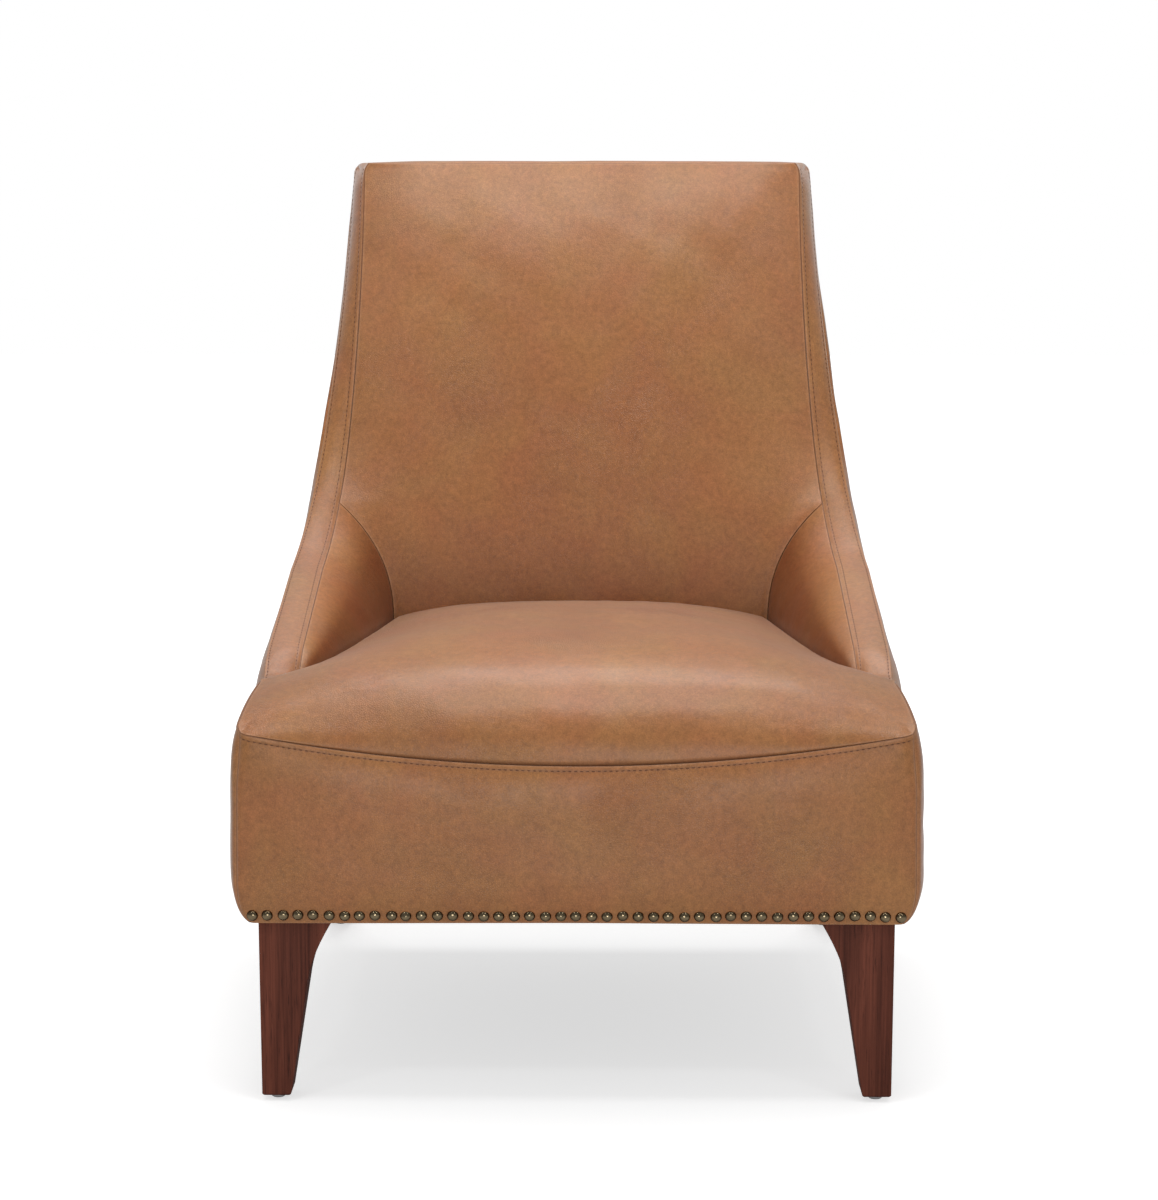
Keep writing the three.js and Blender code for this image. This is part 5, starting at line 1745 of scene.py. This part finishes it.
FINISHES = (
    LeatherFinish("seat leather", (0.3, 1.1, 0.2), 0.4),
    LeatherFinish("back leather", (2.1, 0.4, 0.9)),
    LeatherFinish("arm leather", (1.2, 3.1, 0.1), 0.05),
    LeatherFinish("border leather", (4.2, 0.3, 1.9), 0.85),
    LeatherFinish("front leather", (0.2, 2.2, 4.1)),
    LeatherFinish("side leather", (3.2, 0.1, 2.3)),
    LeatherFinish("outer leather", (5.3, 1.4, 0.7)),
    WoodFinish(
        "stained_wood", (0.066, 0.017, 0.010, 1.0), (0.210, 0.060, 0.035, 1.0), (0.024, 0.008, 0.006, 1.0), 0.45, 0.15
    ),
    WoodFinish("hardwood", turn=(0.0, math.pi / 2.0, 0.0)),
    WoodFinish("plywood", turn=(math.pi / 2.0, 0.0, 0.0)),
    MetalFinish("nail_brass", (0.310, 0.245, 0.150, 1.0), (0.070, 0.033, 0.012, 1.0), 0.15),
    MetalFinish("spring_steel", (0.34, 0.34, 0.36, 1.0), (0.12, 0.12, 0.13, 1.0), 0.4),
    MetalFinish("bolt_steel", (0.62, 0.60, 0.52, 1.0), (0.3, 0.29, 0.25, 1.0), 0.35),
    ClothFinish("thread", (0.075, 0.026, 0.012, 1.0), (0.17, 0.068, 0.032, 1.0), Weave.FELTED, 2500.0),
    ClothFinish("felt", (0.12, 0.115, 0.11, 1.0), (0.22, 0.21, 0.2, 1.0), Weave.FELTED, 500.0),
    ClothFinish("foam", (0.6, 0.53, 0.35, 1.0), (0.78, 0.7, 0.47, 1.0), Weave.FOAMED, 700.0),
    ClothFinish("webbing", (0.17, 0.12, 0.055, 1.0), (0.32, 0.24, 0.12, 1.0), Weave.PLAIN, 1400.0),
    ClothFinish("black_cloth", (0.006, 0.006, 0.007, 1.0), (0.02, 0.02, 0.022, 1.0), Weave.PLAIN, 2400.0),
    PlasticFinish("glide_plastic", (0.55, 0.56, 0.57, 1.0), (0.42, 0.42, 0.43, 1.0)),
)


def main() -> None:
    """Builds the chair, piece by piece, and the studio around it."""
    logging.basicConfig(level=logging.INFO, format="%(message)s")
    form, book = BodyForm(), ShaderBook()
    made = {finish.name: finish.material(book) for finish in FINISHES}
    Studio().build()
    stitching = Topstitching(form)
    SeatUpholstery(form).build(made["seat leather"])
    BackUpholstery(form).build(made["back leather"])
    for side in Side:
        ArmUpholstery(form, side).build(made["arm leather"])
        WingBorder(form, side).build(made["border leather"], stitching)
        SideUpholstery(form, side).build(made["side leather"], stitching)
    FrontUpholstery(form).build(made["front leather"], made["nail_brass"], stitching)
    RearUpholstery(form).build(made["outer leather"])
    TopUpholstery(form).build(made["outer leather"])
    stitching.build(made["thread"])
    Legs().build(made["stained_wood"], made["glide_plastic"])
    Underside().build(made["black_cloth"], made["felt"])
    InnerFrame(made).build()


if __name__ == "__main__":
    main()
